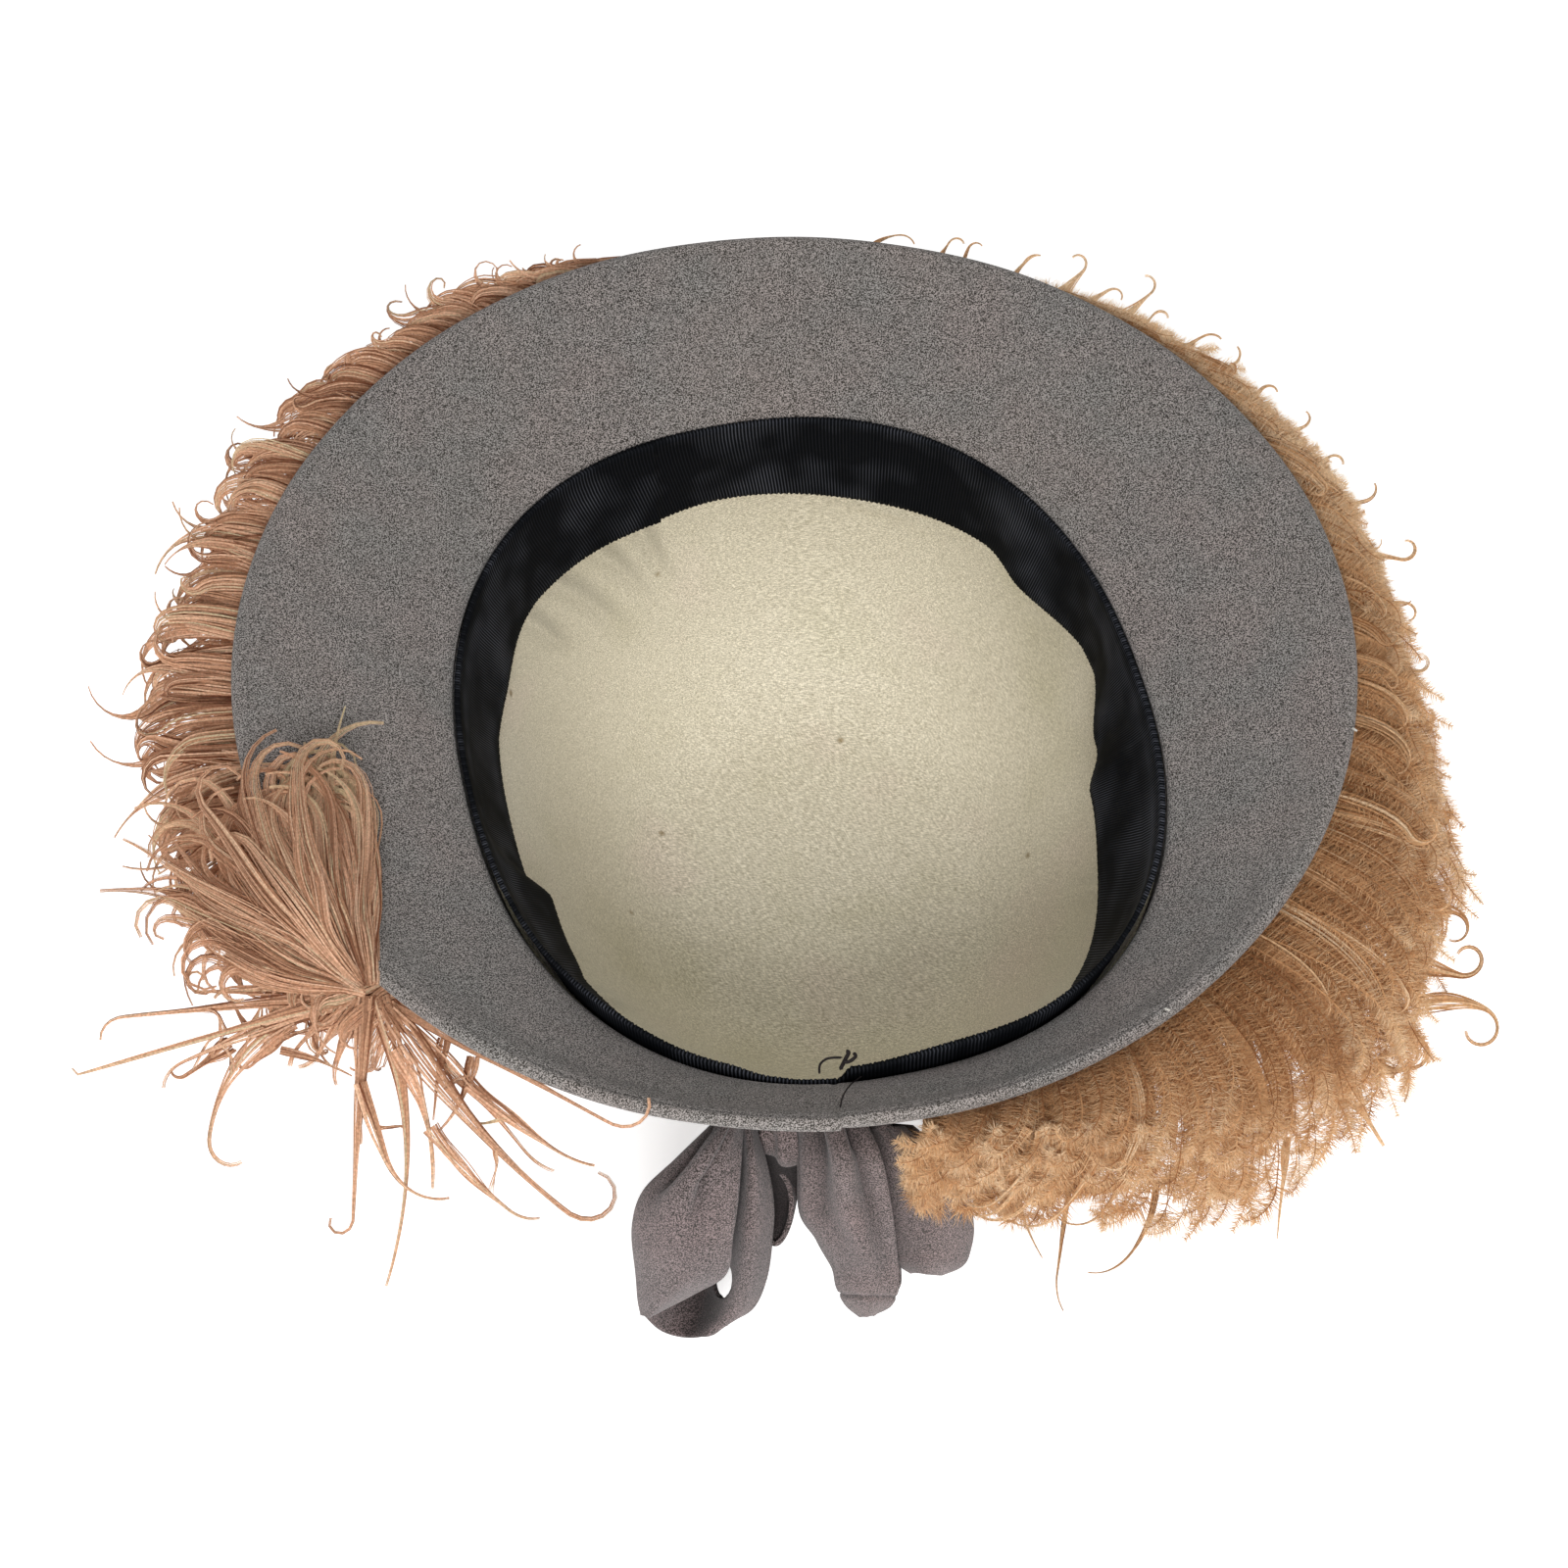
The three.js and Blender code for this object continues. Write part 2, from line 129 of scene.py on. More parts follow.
def rotated(vectors: Array, axes: Array, angle: Array) -> Array:
    """Turns vectors round unit axes: the part along the axis stays and the rest turns.

    Args:
        vectors: Array (..., 3).
        axes: Unit axes that broadcast with vectors.
        angle: Angles in radians, one for each vector.

    Returns:
        The turned vectors.
    """
    cos, sin = np.cos(angle)[..., None], np.sin(angle)[..., None]
    along = (vectors * axes).sum(-1, keepdims=True)
    return vectors * cos + np.cross(axes, vectors) * sin + axes * along * (1.0 - cos)


def grid_faces(rows: int, cols: int, close_rows: bool = False, close_cols: bool = False) -> Array:
    """Quads of a grid of vertices, row after row.

    Args:
        rows: Number of rows.
        cols: Number of vertices in a row.
        close_rows: Joins the last row to the first.
        close_cols: Joins the end of each row to its start.

    Returns:
        Array (M, 4) of vertex numbers.
    """
    i = np.arange(rows if close_rows else rows - 1)[:, None]
    j = np.arange(cols if close_cols else cols - 1)[None, :]
    below, beside = (i + 1) % rows, (j + 1) % cols
    quads = np.stack([i * cols + j, i * cols + beside, below * cols + beside, below * cols + j], -1)
    return quads.reshape(-1, 4)


def make_mesh(
    name: str,
    vertices: Array,
    faces: Array | list,
    uv: Array | None = None,
    tone: Array | None = None,
    shade: Array | None = None,
    weld: bool = False,
) -> bpy.types.Object:
    """Makes an object at the origin from arrays.

    Args:
        name: Name of the piece.
        vertices: Array (N, 3) in millimetres.
        faces: Vertex numbers of each face.
        uv: Array (N, 2), which becomes the map Cloth.
        tone: Array (N,) from 0 to 1, which becomes the attribute tone.
        shade: Array (N,) from 0 to 1, which becomes the attribute shade.
        weld: Merges vertices that lie on each other and turns the normals outwards.

    Returns:
        The new object.
    """
    mesh = bpy.data.meshes.new(name)
    faces = faces.tolist() if isinstance(faces, np.ndarray) else faces
    mesh.from_pydata((np.asarray(vertices, float) * MM).tolist(), [], faces)
    if uv is not None:
        corners = np.empty(len(mesh.loops), int)
        mesh.loops.foreach_get("vertex_index", corners)
        layer = mesh.uv_layers.new(name="Cloth")
        layer.data.foreach_set("uv", np.asarray(uv, np.float32)[corners].ravel())
    for key, values in (("tone", tone), ("shade", shade)):
        if values is not None:
            attribute = mesh.attributes.new(key, "FLOAT", "POINT")
            attribute.data.foreach_set("value", np.asarray(values, np.float32))
    if weld:
        work = bmesh.new()
        work.from_mesh(mesh)
        bmesh.ops.remove_doubles(work, verts=work.verts, dist=2e-6)
        bmesh.ops.recalc_face_normals(work, faces=work.faces)
        work.to_mesh(mesh)
        work.free()
    mesh.polygons.foreach_set("use_smooth", np.ones(len(mesh.polygons), bool))
    mesh.update()
    piece = bpy.data.objects.new(name, mesh)
    bpy.context.scene.collection.objects.link(piece)
    return piece


@dataclass(frozen=True)
class Sight:
    """The viewpoint of the photograph, as a frame of 1600 by 1600 pixels."""

    place: tuple[float, float, float] = (-5.167, -540.83, 811.52)
    tilt: float = 36.0
    focal: float = 3915.0
    half: float = 800.0
    sensor: float = 36.0

    def rays(self, pixels: Array) -> Array:
        """Directions of pixels: forward, plus right and up in shares of the focal length."""
        tilt = math.radians(self.tilt)
        forward = np.array([0.0, math.sin(tilt), -math.cos(tilt)])
        up = np.array([0.0, math.cos(tilt), math.sin(tilt)])
        right = np.array([1.0, 0.0, 0.0])
        across = (pixels[..., :1] - self.half) / self.focal
        over = (self.half - pixels[..., 1:2]) / self.focal
        return forward + right * across + up * over

    def at_height(self, pixels: Array, z: Array | float) -> Array:
        """Points in the hat's frame where the rays of pixels reach a height."""
        rays = self.rays(pixels)
        reach = (np.asarray(z, float) - self.place[2]) / rays[..., 2]
        return np.array(self.place) + rays * reach[..., None]

    def at_depth(self, pixels: Array, y: Array | float) -> Array:
        """Points in the hat's frame where the rays of pixels reach a plane of one y."""
        rays = self.rays(pixels)
        reach = (np.asarray(y, float) - self.place[1]) / rays[..., 1]
        return np.array(self.place) + rays * reach[..., None]

    def camera(self) -> bpy.types.Object:
        """Makes the scene's camera at this viewpoint."""
        data = bpy.data.cameras.new("sight")
        data.sensor_width = self.sensor
        data.lens = self.sensor * self.focal / (2 * self.half)
        data.clip_start, data.clip_end = 0.05, 20.0
        camera = bpy.data.objects.new("sight", data)
        camera.location = [value * MM for value in self.place]
        camera.rotation_euler = (math.radians(self.tilt), 0.0, 0.0)
        bpy.context.scene.collection.objects.link(camera)
        bpy.context.scene.camera = camera
        return camera


@dataclass(frozen=True)
class HatPlan:
    """Sizes of the hat's plan and profiles, the same as the frame's own."""

    head_half_width: float = 81.5
    head_half_length: float = 97.5
    head_squareness: float = 2.3
    head_turn: float = 13.0
    head_line: float = 88.0
    head_ring: float = 90.0
    rim_ring: float = 131.0
    rim_centre: tuple[float, float] = (-2.8, 11.8)
    rim_rise: float = 18.0
    dish: float = 0.35
    brim_thick: float = 2.6
    crown_ring: float = 92.2
    crown_edge: float = 86.3
    crown_tip_share: float = 0.4
    crown_side_power: float = 2.2
    crown_depth_power: float = 1.3
    crown_lean: tuple[float, float] = (3.3, 16.2)
    crown_lean_depth: float = 0.33
    crown_lean_power: float = 1.6

    def head(self, turn: Array) -> Array:
        """Radius of the head opening: a superellipse turned by head_turn."""
        at = turn - math.radians(self.head_turn)
        across = np.abs(np.cos(at) / self.head_half_width) ** self.head_squareness
        along = np.abs(np.sin(at) / self.head_half_length) ** self.head_squareness
        return (across + along) ** (-1.0 / self.head_squareness)

    def rim(self, turn: Array) -> Array:
        """Distance from the origin to the rim's circle, which is set forward."""
        x, y = self.rim_centre
        toward = x * np.cos(turn) + y * np.sin(turn)
        return toward + np.sqrt(self.rim_ring**2 - x * x - y * y + toward**2)

    def radius(self, nominal: Array, turn: Array) -> Array:
        """Real radius of a nominal one: head and rim are joined by a straight blend."""
        head, rim = self.head(turn), self.rim(turn)
        share = (nominal - self.head_ring) / (self.rim_ring - self.head_ring)
        between = head + (rim - head) * share
        inside = head * nominal / self.head_ring
        outside = rim + nominal - self.rim_ring
        return np.where(share <= 0, inside, np.where(share >= 1, outside, between))

    def lean(self, z: Array) -> Array:
        """How far the crown has leaned forward at a height, as x and y on a last axis."""
        depth = np.maximum(0.0, 1.0 - z / self.head_line) / self.crown_lean_depth
        share = 1.0 - np.exp(-(depth**self.crown_lean_power))
        return share[..., None] * np.array(self.crown_lean)

    def point(self, nominal: Array, turn: Array, z: Array, leaning: bool = False) -> Array:
        """Point in the hat's frame of a nominal radius, a turn in radians and a height.

        Args:
            nominal: Radius on the round hat.
            turn: Direction in radians.
            z: Height.
            leaning: Moves the point with the crown's lean.

        Returns:
            Array (..., 3).
        """
        nominal, turn, z = np.broadcast_arrays(nominal, turn, z)
        radius = self.radius(nominal, turn)
        point = np.stack([radius * np.cos(turn), radius * np.sin(turn), z], -1).astype(float)
        if leaning:
            point[..., :2] += self.lean(z)
        return point

    def brim_height(self, nominal: Array) -> Array:
        """Height of the brim's middle surface: a dish that flattens towards the rim."""
        s = (np.asarray(nominal, float) - self.head_ring) / (self.rim_ring - self.head_ring)
        return self.head_line + self.rim_rise * ((1 + self.dish) * s - self.dish * s * s)

    def brim_face(self, nominal: Array, off: Array) -> tuple[Array, Array]:
        """Nominal radius and height of a point that is off the brim along its normal."""
        nominal = np.asarray(nominal, float)
        s = (nominal - self.head_ring) / (self.rim_ring - self.head_ring)
        ring = self.rim_ring - self.head_ring
        slope = self.rim_rise * (1 + self.dish - 2 * self.dish * s) / ring
        reach = off / np.hypot(1.0, slope)
        return nominal - slope * reach, self.brim_height(nominal) + reach

    def over_brim(self, pixels: Array, height: Array, sight: Sight) -> Array:
        """Points that a pixel shows at a height over the brim, found in a few passes."""
        z = np.full(pixels.shape[:-1], self.head_line + self.rim_rise) + height
        for _ in range(12):
            found = sight.at_height(pixels, z)
            turn = np.arctan2(found[..., 1], found[..., 0])
            reach = np.hypot(found[..., 0], found[..., 1])
            head, rim = self.head(turn), self.rim(turn)
            share = np.clip((reach - head) / (rim - head), 0.0, 1.0)
            ring = self.head_ring + share * (self.rim_ring - self.head_ring)
            z = self.brim_height(ring) + height
        return found

    def crown_profile(self, share: Array, inset: float) -> tuple[Array, Array]:
        """Nominal radius and height of the crown's side, moved inward by an inset.

        The side is a superellipse from the edge of the flat tip up to the head line.
        """

        def side(at: Array) -> tuple[Array, Array]:
            """Radius and height at a share of the quarter turn from the tip to the head line."""
            turn = at * math.pi / 2
            out = np.sin(turn) ** (2 / self.crown_side_power)
            deep = np.clip(np.cos(turn), 0, 1) ** (2 / self.crown_depth_power)
            radius = self.crown_tip_share + (1 - self.crown_tip_share) * out
            return self.crown_ring * radius, self.crown_edge * (1 - deep)

        share = np.asarray(share, float)
        r, z = side(share)
        r_on, z_on = side(np.minimum(1.0, share + 0.004))
        r_back, z_back = side(np.maximum(0.0, share - 0.004))
        length = np.hypot(r_on - r_back, z_on - z_back)
        return r - (z_on - z_back) / length * inset, z + (r_on - r_back) / length * inset

    def crown_radius(self, z: Array, inset: float) -> Array:
        """Nominal radius of the inset crown at a height, read off 600 places of its side."""
        r, height = self.crown_profile(np.linspace(0, 1, 600), inset)
        return np.interp(z, height, r)


class Graph:
    """A material's node tree, with short calls that add and join nodes."""

    def __init__(self, name: str) -> None:
        """Starts an empty material with this name."""
        self.material = bpy.data.materials.new(name)
        self.material.use_nodes = True
        self.tree = self.material.node_tree
        self.tree.nodes.clear()

    def node(self, kind: str, values: dict | None = None, **settings: object) -> bpy.types.Node:
        """Adds a node.

        Args:
            kind: Node type after ShaderNode.
            values: Sockets by name or number, each a constant or a socket to join.
            settings: Properties of the node.

        Returns:
            The node.
        """
        node = self.tree.nodes.new("ShaderNode" + kind)
        for key, value in settings.items():
            setattr(node, key, value)
        for key, value in (values or {}).items():
            if isinstance(value, bpy.types.NodeSocket):
                self.tree.links.new(value, node.inputs[key])
            else:
                node.inputs[key].default_value = value
        return node

    def noise(self, vector: object, scale: float, detail: float = 2.0, rough: float = 0.5) -> object:
        """Noise from 0 to 1, at a scale of features in a metre."""
        values = {"Vector": vector, "Scale": scale, "Detail": detail, "Roughness": rough}
        return self.node("TexNoise", values).outputs[0]

    def ramp(self, fac: object, *stops: tuple[float, Colour]) -> object:
        """Colour ramp through stops of a position and a colour."""
        node = self.node("ValToRGB", {0: fac})
        band = node.color_ramp
        while len(band.elements) < len(stops):
            band.elements.new(0.5)
        for element, (position, colour) in zip(band.elements, stops):
            element.position = position
            element.color = (*colour, 1.0)
        return node.outputs[0]

    def mix(self, mode: str, fac: object, first: object, second: object) -> object:
        """Mixes two colours in a blend mode."""
        node = self.node("Mix", {0: fac}, data_type="RGBA", blend_type=mode)
        for place, value in ((6, first), (7, second)):
            if isinstance(value, bpy.types.NodeSocket):
                self.tree.links.new(value, node.inputs[place])
            else:
                node.inputs[place].default_value = (*value, 1.0)
        return node.outputs[2]

    def maths(self, operation: str, first: object, second: object = 0.0) -> object:
        """A math node on two values."""
        return self.node("Math", {0: first, 1: second}, operation=operation).outputs[0]

    def bump(self, height: object, strength: float, distance: float, onto: object = None) -> object:
        """A bump of a height in metres, on top of an earlier one."""
        values = {"Height": height, "Strength": strength, "Distance": distance}
        if onto is not None:
            values["Normal"] = onto
        return self.node("Bump", values).outputs[0]

    def finish(self, shader: object) -> bpy.types.Material:
        """Joins a shader to the output and hands back the material."""
        self.node("OutputMaterial", {0: shader})
        return self.material


def scaled(colour: Colour, share: float) -> Colour:
    """A colour made darker or lighter by a share."""
    return tuple(min(1.0, part * share) for part in colour)


@dataclass(frozen=True)
class CrepeFinish:
    """Matt pebbled crepe: dark and light grains of under half a millimetre.

    The attribute shade darkens it with painted shade in folds, pleat valleys and hollows.
    """

    name: str
    colour: Colour
    grain: float = 0.33
    contrast: float = 0.95
    worn: Colour = (0.30, 0.25, 0.19)
    worn_share: float = 0.12

    def material(self) -> bpy.types.Material:
        """Builds the node material."""
        g = Graph(self.name)
        place = g.node("TexCoord").outputs["Object"]
        grain = g.noise(place, 1 / (self.grain * MM), 2.5, 0.62)
        pebbles = g.noise(place, 1 / (self.grain * 2.6 * MM), 1.0, 0.5)
        clouds = g.noise(place, 46.0, 3.0, 0.55)
        dark, light = scaled(self.colour, 1 - self.contrast), scaled(self.colour, 1 + 1.45 * self.contrast)
        base = g.ramp(grain, (0.43, dark), (0.5, self.colour), (0.57, light))
        tint = g.ramp(clouds, (0.35, (0.93, 0.95, 0.95)), (0.65, (1.06, 1.0, 0.99)))
        base = g.mix("MULTIPLY", 1.0, base, tint)
        fade = g.maths("MULTIPLY", g.noise(place, 15.0, 2.0), self.worn_share)
        base = g.mix("MIX", fade, base, self.worn)
        # painted shade: the attribute shade darkens the crepe where folds and hollows lie in shade
        painted_shade = g.node("Attribute", attribute_name="shade").outputs["Fac"]
        base = g.mix("MIX", painted_shade, base, scaled(self.colour, 0.12))
        rough = g.node("MapRange", {0: pebbles, 3: 0.82, 4: 0.97}).outputs[0]
        lumps = g.bump(pebbles, 0.35, 0.25 * MM)
        normal = g.bump(grain, 0.75, 0.16 * MM, lumps)
        values = {
            "Base Color": base,
            "Roughness": rough,
            "Specular IOR Level": 0.18,
            "Sheen Weight": 0.12,
            "Sheen Roughness": 0.6,
            "Normal": normal,
        }
        return g.finish(g.node("BsdfPrincipled", values).outputs[0])


@dataclass(frozen=True)
class SilkFinish:
    """Aged cream silk with a fine slanting weave and uneven yellowing, and painted shade towards the back.

    The attribute shade darkens it in its wrinkles, as painted shade.
    """

    name: str
    colour: Colour
    aged: Colour = (0.60, 0.56, 0.42)
    rosy: Colour = (0.72, 0.63, 0.54)
    weave: float = 0.19

    def material(self) -> bpy.types.Material:
        """Builds the node material."""
        g = Graph(self.name)
        place = g.node("TexCoord").outputs["Object"]
        along = g.node("Mapping", {"Vector": place, "Scale": (0.14, 1.0, 1.0)}).outputs[0]
        slant = g.node("Mapping", {"Vector": place, "Rotation": (0.0, 0.0, math.radians(58))}).outputs[0]
        slant = g.node("Mapping", {"Vector": slant, "Scale": (0.2, 1.0, 1.0)}).outputs[0]
        lines = g.noise(along, 1 / (self.weave * MM), 1.5)
        twill = g.noise(slant, 0.8 / (self.weave * MM), 1.0)
        threads = g.noise(place, 2600.0, 2.0)
        clouds = g.noise(place, 24.0, 2.5, 0.5)
        patches = g.noise(place, 11.0, 1.5, 0.5)
        base = g.ramp(clouds, (0.3, self.aged), (0.46, self.colour), (0.56, self.colour), (0.7, self.rosy))
        base = g.mix("MIX", g.maths("MULTIPLY", patches, 0.5), base, self.colour)
        shade = g.ramp(lines, (0.4, (0.64, 0.62, 0.56)), (0.6, (1.18, 1.18, 1.18)))
        base = g.mix("MULTIPLY", 0.8, base, shade)
        flecks = g.ramp(twill, (0.4, (0.74, 0.72, 0.66)), (0.6, (1.14, 1.14, 1.14)))
        base = g.mix("MULTIPLY", 0.75, base, flecks)
        stain = g.node("TexVoronoi", {"Vector": place, "Scale": 38.0}).outputs[0]
        specks = g.ramp(stain, (0.022, (0.42, 0.34, 0.22)), (0.05, WHITE))
        base = g.mix("MULTIPLY", 1.0, base, specks)
        # painted shade: the silk darkens towards the back of the bowl, where the back rim shades it
        back = g.node("SeparateXYZ", {0: place}).outputs[1]
        back = g.node("MapRange", {0: back, 1: -0.075, 2: 0.01}).outputs[0]
        dimmed = g.ramp(back, (0.0, (0.84, 0.84, 0.75)), (1.0, WHITE))
        base = g.mix("MULTIPLY", 1.0, base, dimmed)
        # painted shade in the wrinkles, from the attribute shade
        painted_wrinkle_shade = g.node("Attribute", attribute_name="shade").outputs["Fac"]
        base = g.mix("MIX", painted_wrinkle_shade, base, scaled(self.aged, 0.3))
        normal = g.bump(lines, 0.25, 0.1 * MM, g.bump(threads, 0.2, 0.08 * MM))
        values = {
            "Base Color": base,
            "Roughness": 0.52,
            "Specular IOR Level": 0.3,
            "Sheen Weight": 0.25,
            "Sheen Roughness": 0.35,
            "Normal": normal,
        }
        return g.finish(g.node("BsdfPrincipled", values).outputs[0])


@dataclass(frozen=True)
class GrosgrainFinish:
    """Black grosgrain: blue-black ribs, each with a paler crest that is a painted highlight, brighter in
    random patches.
    """

    name: str
    colour: Colour
    # colour of the painted highlight on each rib's crest
    crest: Colour = (0.066, 0.070, 0.084)
    ribs: int = RIBS
    length: float = RIBBON_LENGTH

    def material(self) -> bpy.types.Material:
        """Builds the node material: a wave along the ribbon has one band for each rib."""
        g = Graph(self.name)
        place = g.node("TexCoord").outputs["Object"]
        cloth = g.node("UVMap", uv_map="Cloth").outputs[0]
        scale = 2 * math.pi / 20 * self.ribs / self.length
        rib = g.node("TexWave", {"Vector": cloth, "Scale": scale}, wave_type="BANDS").outputs[1]
        # painted highlight on the rib crests, stronger in random patches
        patches = g.noise(place, 42.0, 2.0, 0.6)
        highlight_patches = g.node("MapRange", {0: patches, 1: 0.42, 2: 0.66, 3: 0.12, 4: 1.2}).outputs[0]
        crest = g.maths("MULTIPLY", g.maths("POWER", rib, 3.0), highlight_patches)
        base = g.mix("MIX", crest, self.colour, self.crest)
        values = {"Base Color": base, "Roughness": 0.7, "Specular IOR Level": 0.04}
        return g.finish(g.node("BsdfPrincipled", values).outputs[0])


@dataclass(frozen=True)
class FeatherFinish:
    """Soft dull plume: a tone on each hair runs from deep brown over pale tan to faded."""

    name: str
    deep: Colour
    middle: Colour
    pale: Colour
    faded: Colour
    glow: float = 0.38

    def material(self) -> bpy.types.Material:
        """Builds the node material."""
        g = Graph(self.name)
        place = g.node("TexCoord").outputs["Object"]
        tone = g.node("Attribute", attribute_name="tone").outputs["Fac"]
        patches = g.node("MapRange", {0: g.noise(place, 55.0, 2.0), 3: -0.14, 4: 0.14}).outputs[0]
        tone = g.maths("ADD", tone, patches)
        base = g.ramp(tone, (0.0, self.deep), (0.42, self.middle), (0.72, self.pale), (1.0, self.faded))
        fleck = g.noise(place, 1700.0, 1.0)
        shade = g.ramp(fleck, (0.36, (0.7, 0.66, 0.62)), (0.64, (1.12, 1.12, 1.12)))
        base = g.mix("MULTIPLY", 0.8, base, shade)
        values = {
            "Base Color": base,
            "Roughness": 0.7,
            "Specular IOR Level": 0.25,
            "Sheen Weight": 0.2,
            "Sheen Roughness": 0.5,
        }
        front = g.node("BsdfPrincipled", values).outputs[0]
        behind = g.node("BsdfTranslucent", {"Color": base}).outputs[0]
        return g.finish(g.node("MixShader", {0: self.glow, 1: front, 2: behind}).outputs[0])


@dataclass(frozen=True)
class FloorFinish:
    """Plain white paper floor that gives some light back, so its shadows stay faint."""

    name: str
    colour: Colour = (0.93, 0.93, 0.93)
    light: float = 0.56

    def material(self) -> bpy.types.Material:
        """Builds the node material."""
        g = Graph(self.name)
        place = g.node("TexCoord").outputs["Object"]
        fibre = g.noise(place, 900.0, 2.0)
        base = g.ramp(fibre, (0.3, scaled(self.colour, 0.995)), (0.7, self.colour))
        values = {
            "Base Color": base,
            "Roughness": 1.0,
            "Specular IOR Level": 0.0,
            "Emission Color": (1.0, 1.0, 1.0, 1.0),
            "Emission Strength": self.light,
        }
        return g.finish(g.node("BsdfPrincipled", values).outputs[0])


@dataclass(frozen=True)
class ThreadFinish:
    """Plain thread or lint with a twist along it."""

    name: str
    colour: Colour

    def material(self) -> bpy.types.Material:
        """Builds the node material."""
        g = Graph(self.name)
        place = g.node("TexCoord").outputs["Object"]
        twist = g.noise(place, 2400.0, 1.0)
        base = g.ramp(twist, (0.35, scaled(self.colour, 0.75)), (0.65, scaled(self.colour, 1.25)))
        values = {"Base Color": base, "Roughness": 0.75, "Specular IOR Level": 0.25}
        return g.finish(g.node("BsdfPrincipled", values).outputs[0])


class Slot(Enum):
    """Material slots of the record."""

    CREPE = "crepe"
    SILK = "lining_silk"
    GROSGRAIN = "grosgrain"
    OSTRICH = "ostrich"


def dress(piece: bpy.types.Object, material: bpy.types.Material, slot: Slot, *nodes: str) -> None:
    """Gives a piece its material and body, and hides the nodes it stands for.

    Args:
        piece: The new piece.
        material: Its material.
        slot: The record's slot. Not used.
        nodes: Names of the CAD nodes that it replaces.
    """
    piece.data.materials.clear()
    piece.data.materials.append(material)
    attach(piece, "root")
    if nodes:
        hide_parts(*nodes)
    log.info("%s: %d faces", piece.name, len(piece.data.polygons))


@dataclass(frozen=True)
class Crease:
    """A soft ridge or hollow: where it is, which way it runs and how high it stands."""

    turn: float
    place: float
    slant: float
    length: float
    width: float
    height: float


def creased(creases: tuple[Crease, ...], turn: Array, place: Array) -> Array:
    """Sum of creases: each falls off as a bell along and across its own direction.

    Args:
        creases: The creases. Their turn is in degrees and their place in millimetres.
        turn: Turn in degrees.
        place: Distance up the surface in millimetres.

    Returns:
        Height in millimetres.
    """
    total = np.zeros(np.broadcast(turn, place).shape)
    for crease in creases:
        x = ((turn - crease.turn + 180.0) % 360.0 - 180.0) * 1.45
        y = place - crease.place
        slant = math.radians(crease.slant)
        along = x * math.cos(slant) + y * math.sin(slant)
        across = -x * math.sin(slant) + y * math.cos(slant)
        total += crease.height * np.exp(-((along / crease.length) ** 2) - (across / crease.width) ** 2)
    return total


@dataclass
class Crown:
    """The domed cap of crepe over a stiff base, from its flat tip to the head line."""

    plan: HatPlan
    wall: float = 2.2
    around: int = 180
    steps: int = 44
    dents: tuple[Crease, ...] = (
        Crease(205, 45, 60, 26, 9, -0.8),
        Crease(262, 52, 20, 30, 12, -0.9),
        Crease(330, 38, 100, 24, 10, -0.8),
        Crease(60, 50, 40, 26, 11, -0.7),
        Crease(130, 30, 130, 22, 10, -0.6),
    )

    def wall_points(self, inset: float) -> Array:
        """One face of the cap: a flat disc, then the side, each row turned round the axis."""
        turn = np.linspace(0, 2 * math.pi, self.around, endpoint=False)
        share = np.linspace(0, 1, self.steps) ** 1.25
        r, z = self.plan.crown_profile(share, inset)
        r = np.concatenate([[0.0, 8.0, 18.0, 28.0], r])
        z = np.concatenate([np.full(4, z[0]), np.minimum(z, self.plan.crown_edge - 0.01)])
        dent = creased(self.dents, np.degrees(turn)[None], z[:, None])
        dent = dent * smoothstep(z, 6, 20)[:, None] * smoothstep(-z, -80, -66)[:, None]
        return self.plan.point(r[:, None] + dent, turn[None], z[:, None], leaning=True)

    def build(self, crepe: bpy.types.Material) -> bpy.types.Object:
        """Makes the cap as one closed wall."""
        outer, inner = self.wall_points(0.0), self.wall_points(self.wall)[::-1]
        rows = len(outer) + len(inner)
        points = np.concatenate([outer, inner]).reshape(-1, 3)
        faces = grid_faces(rows, self.around, close_cols=True)
        piece = make_mesh("crown_cap", points, faces, weld=True)
        dress(piece, crepe, Slot.CREPE, "crown")
        return piece


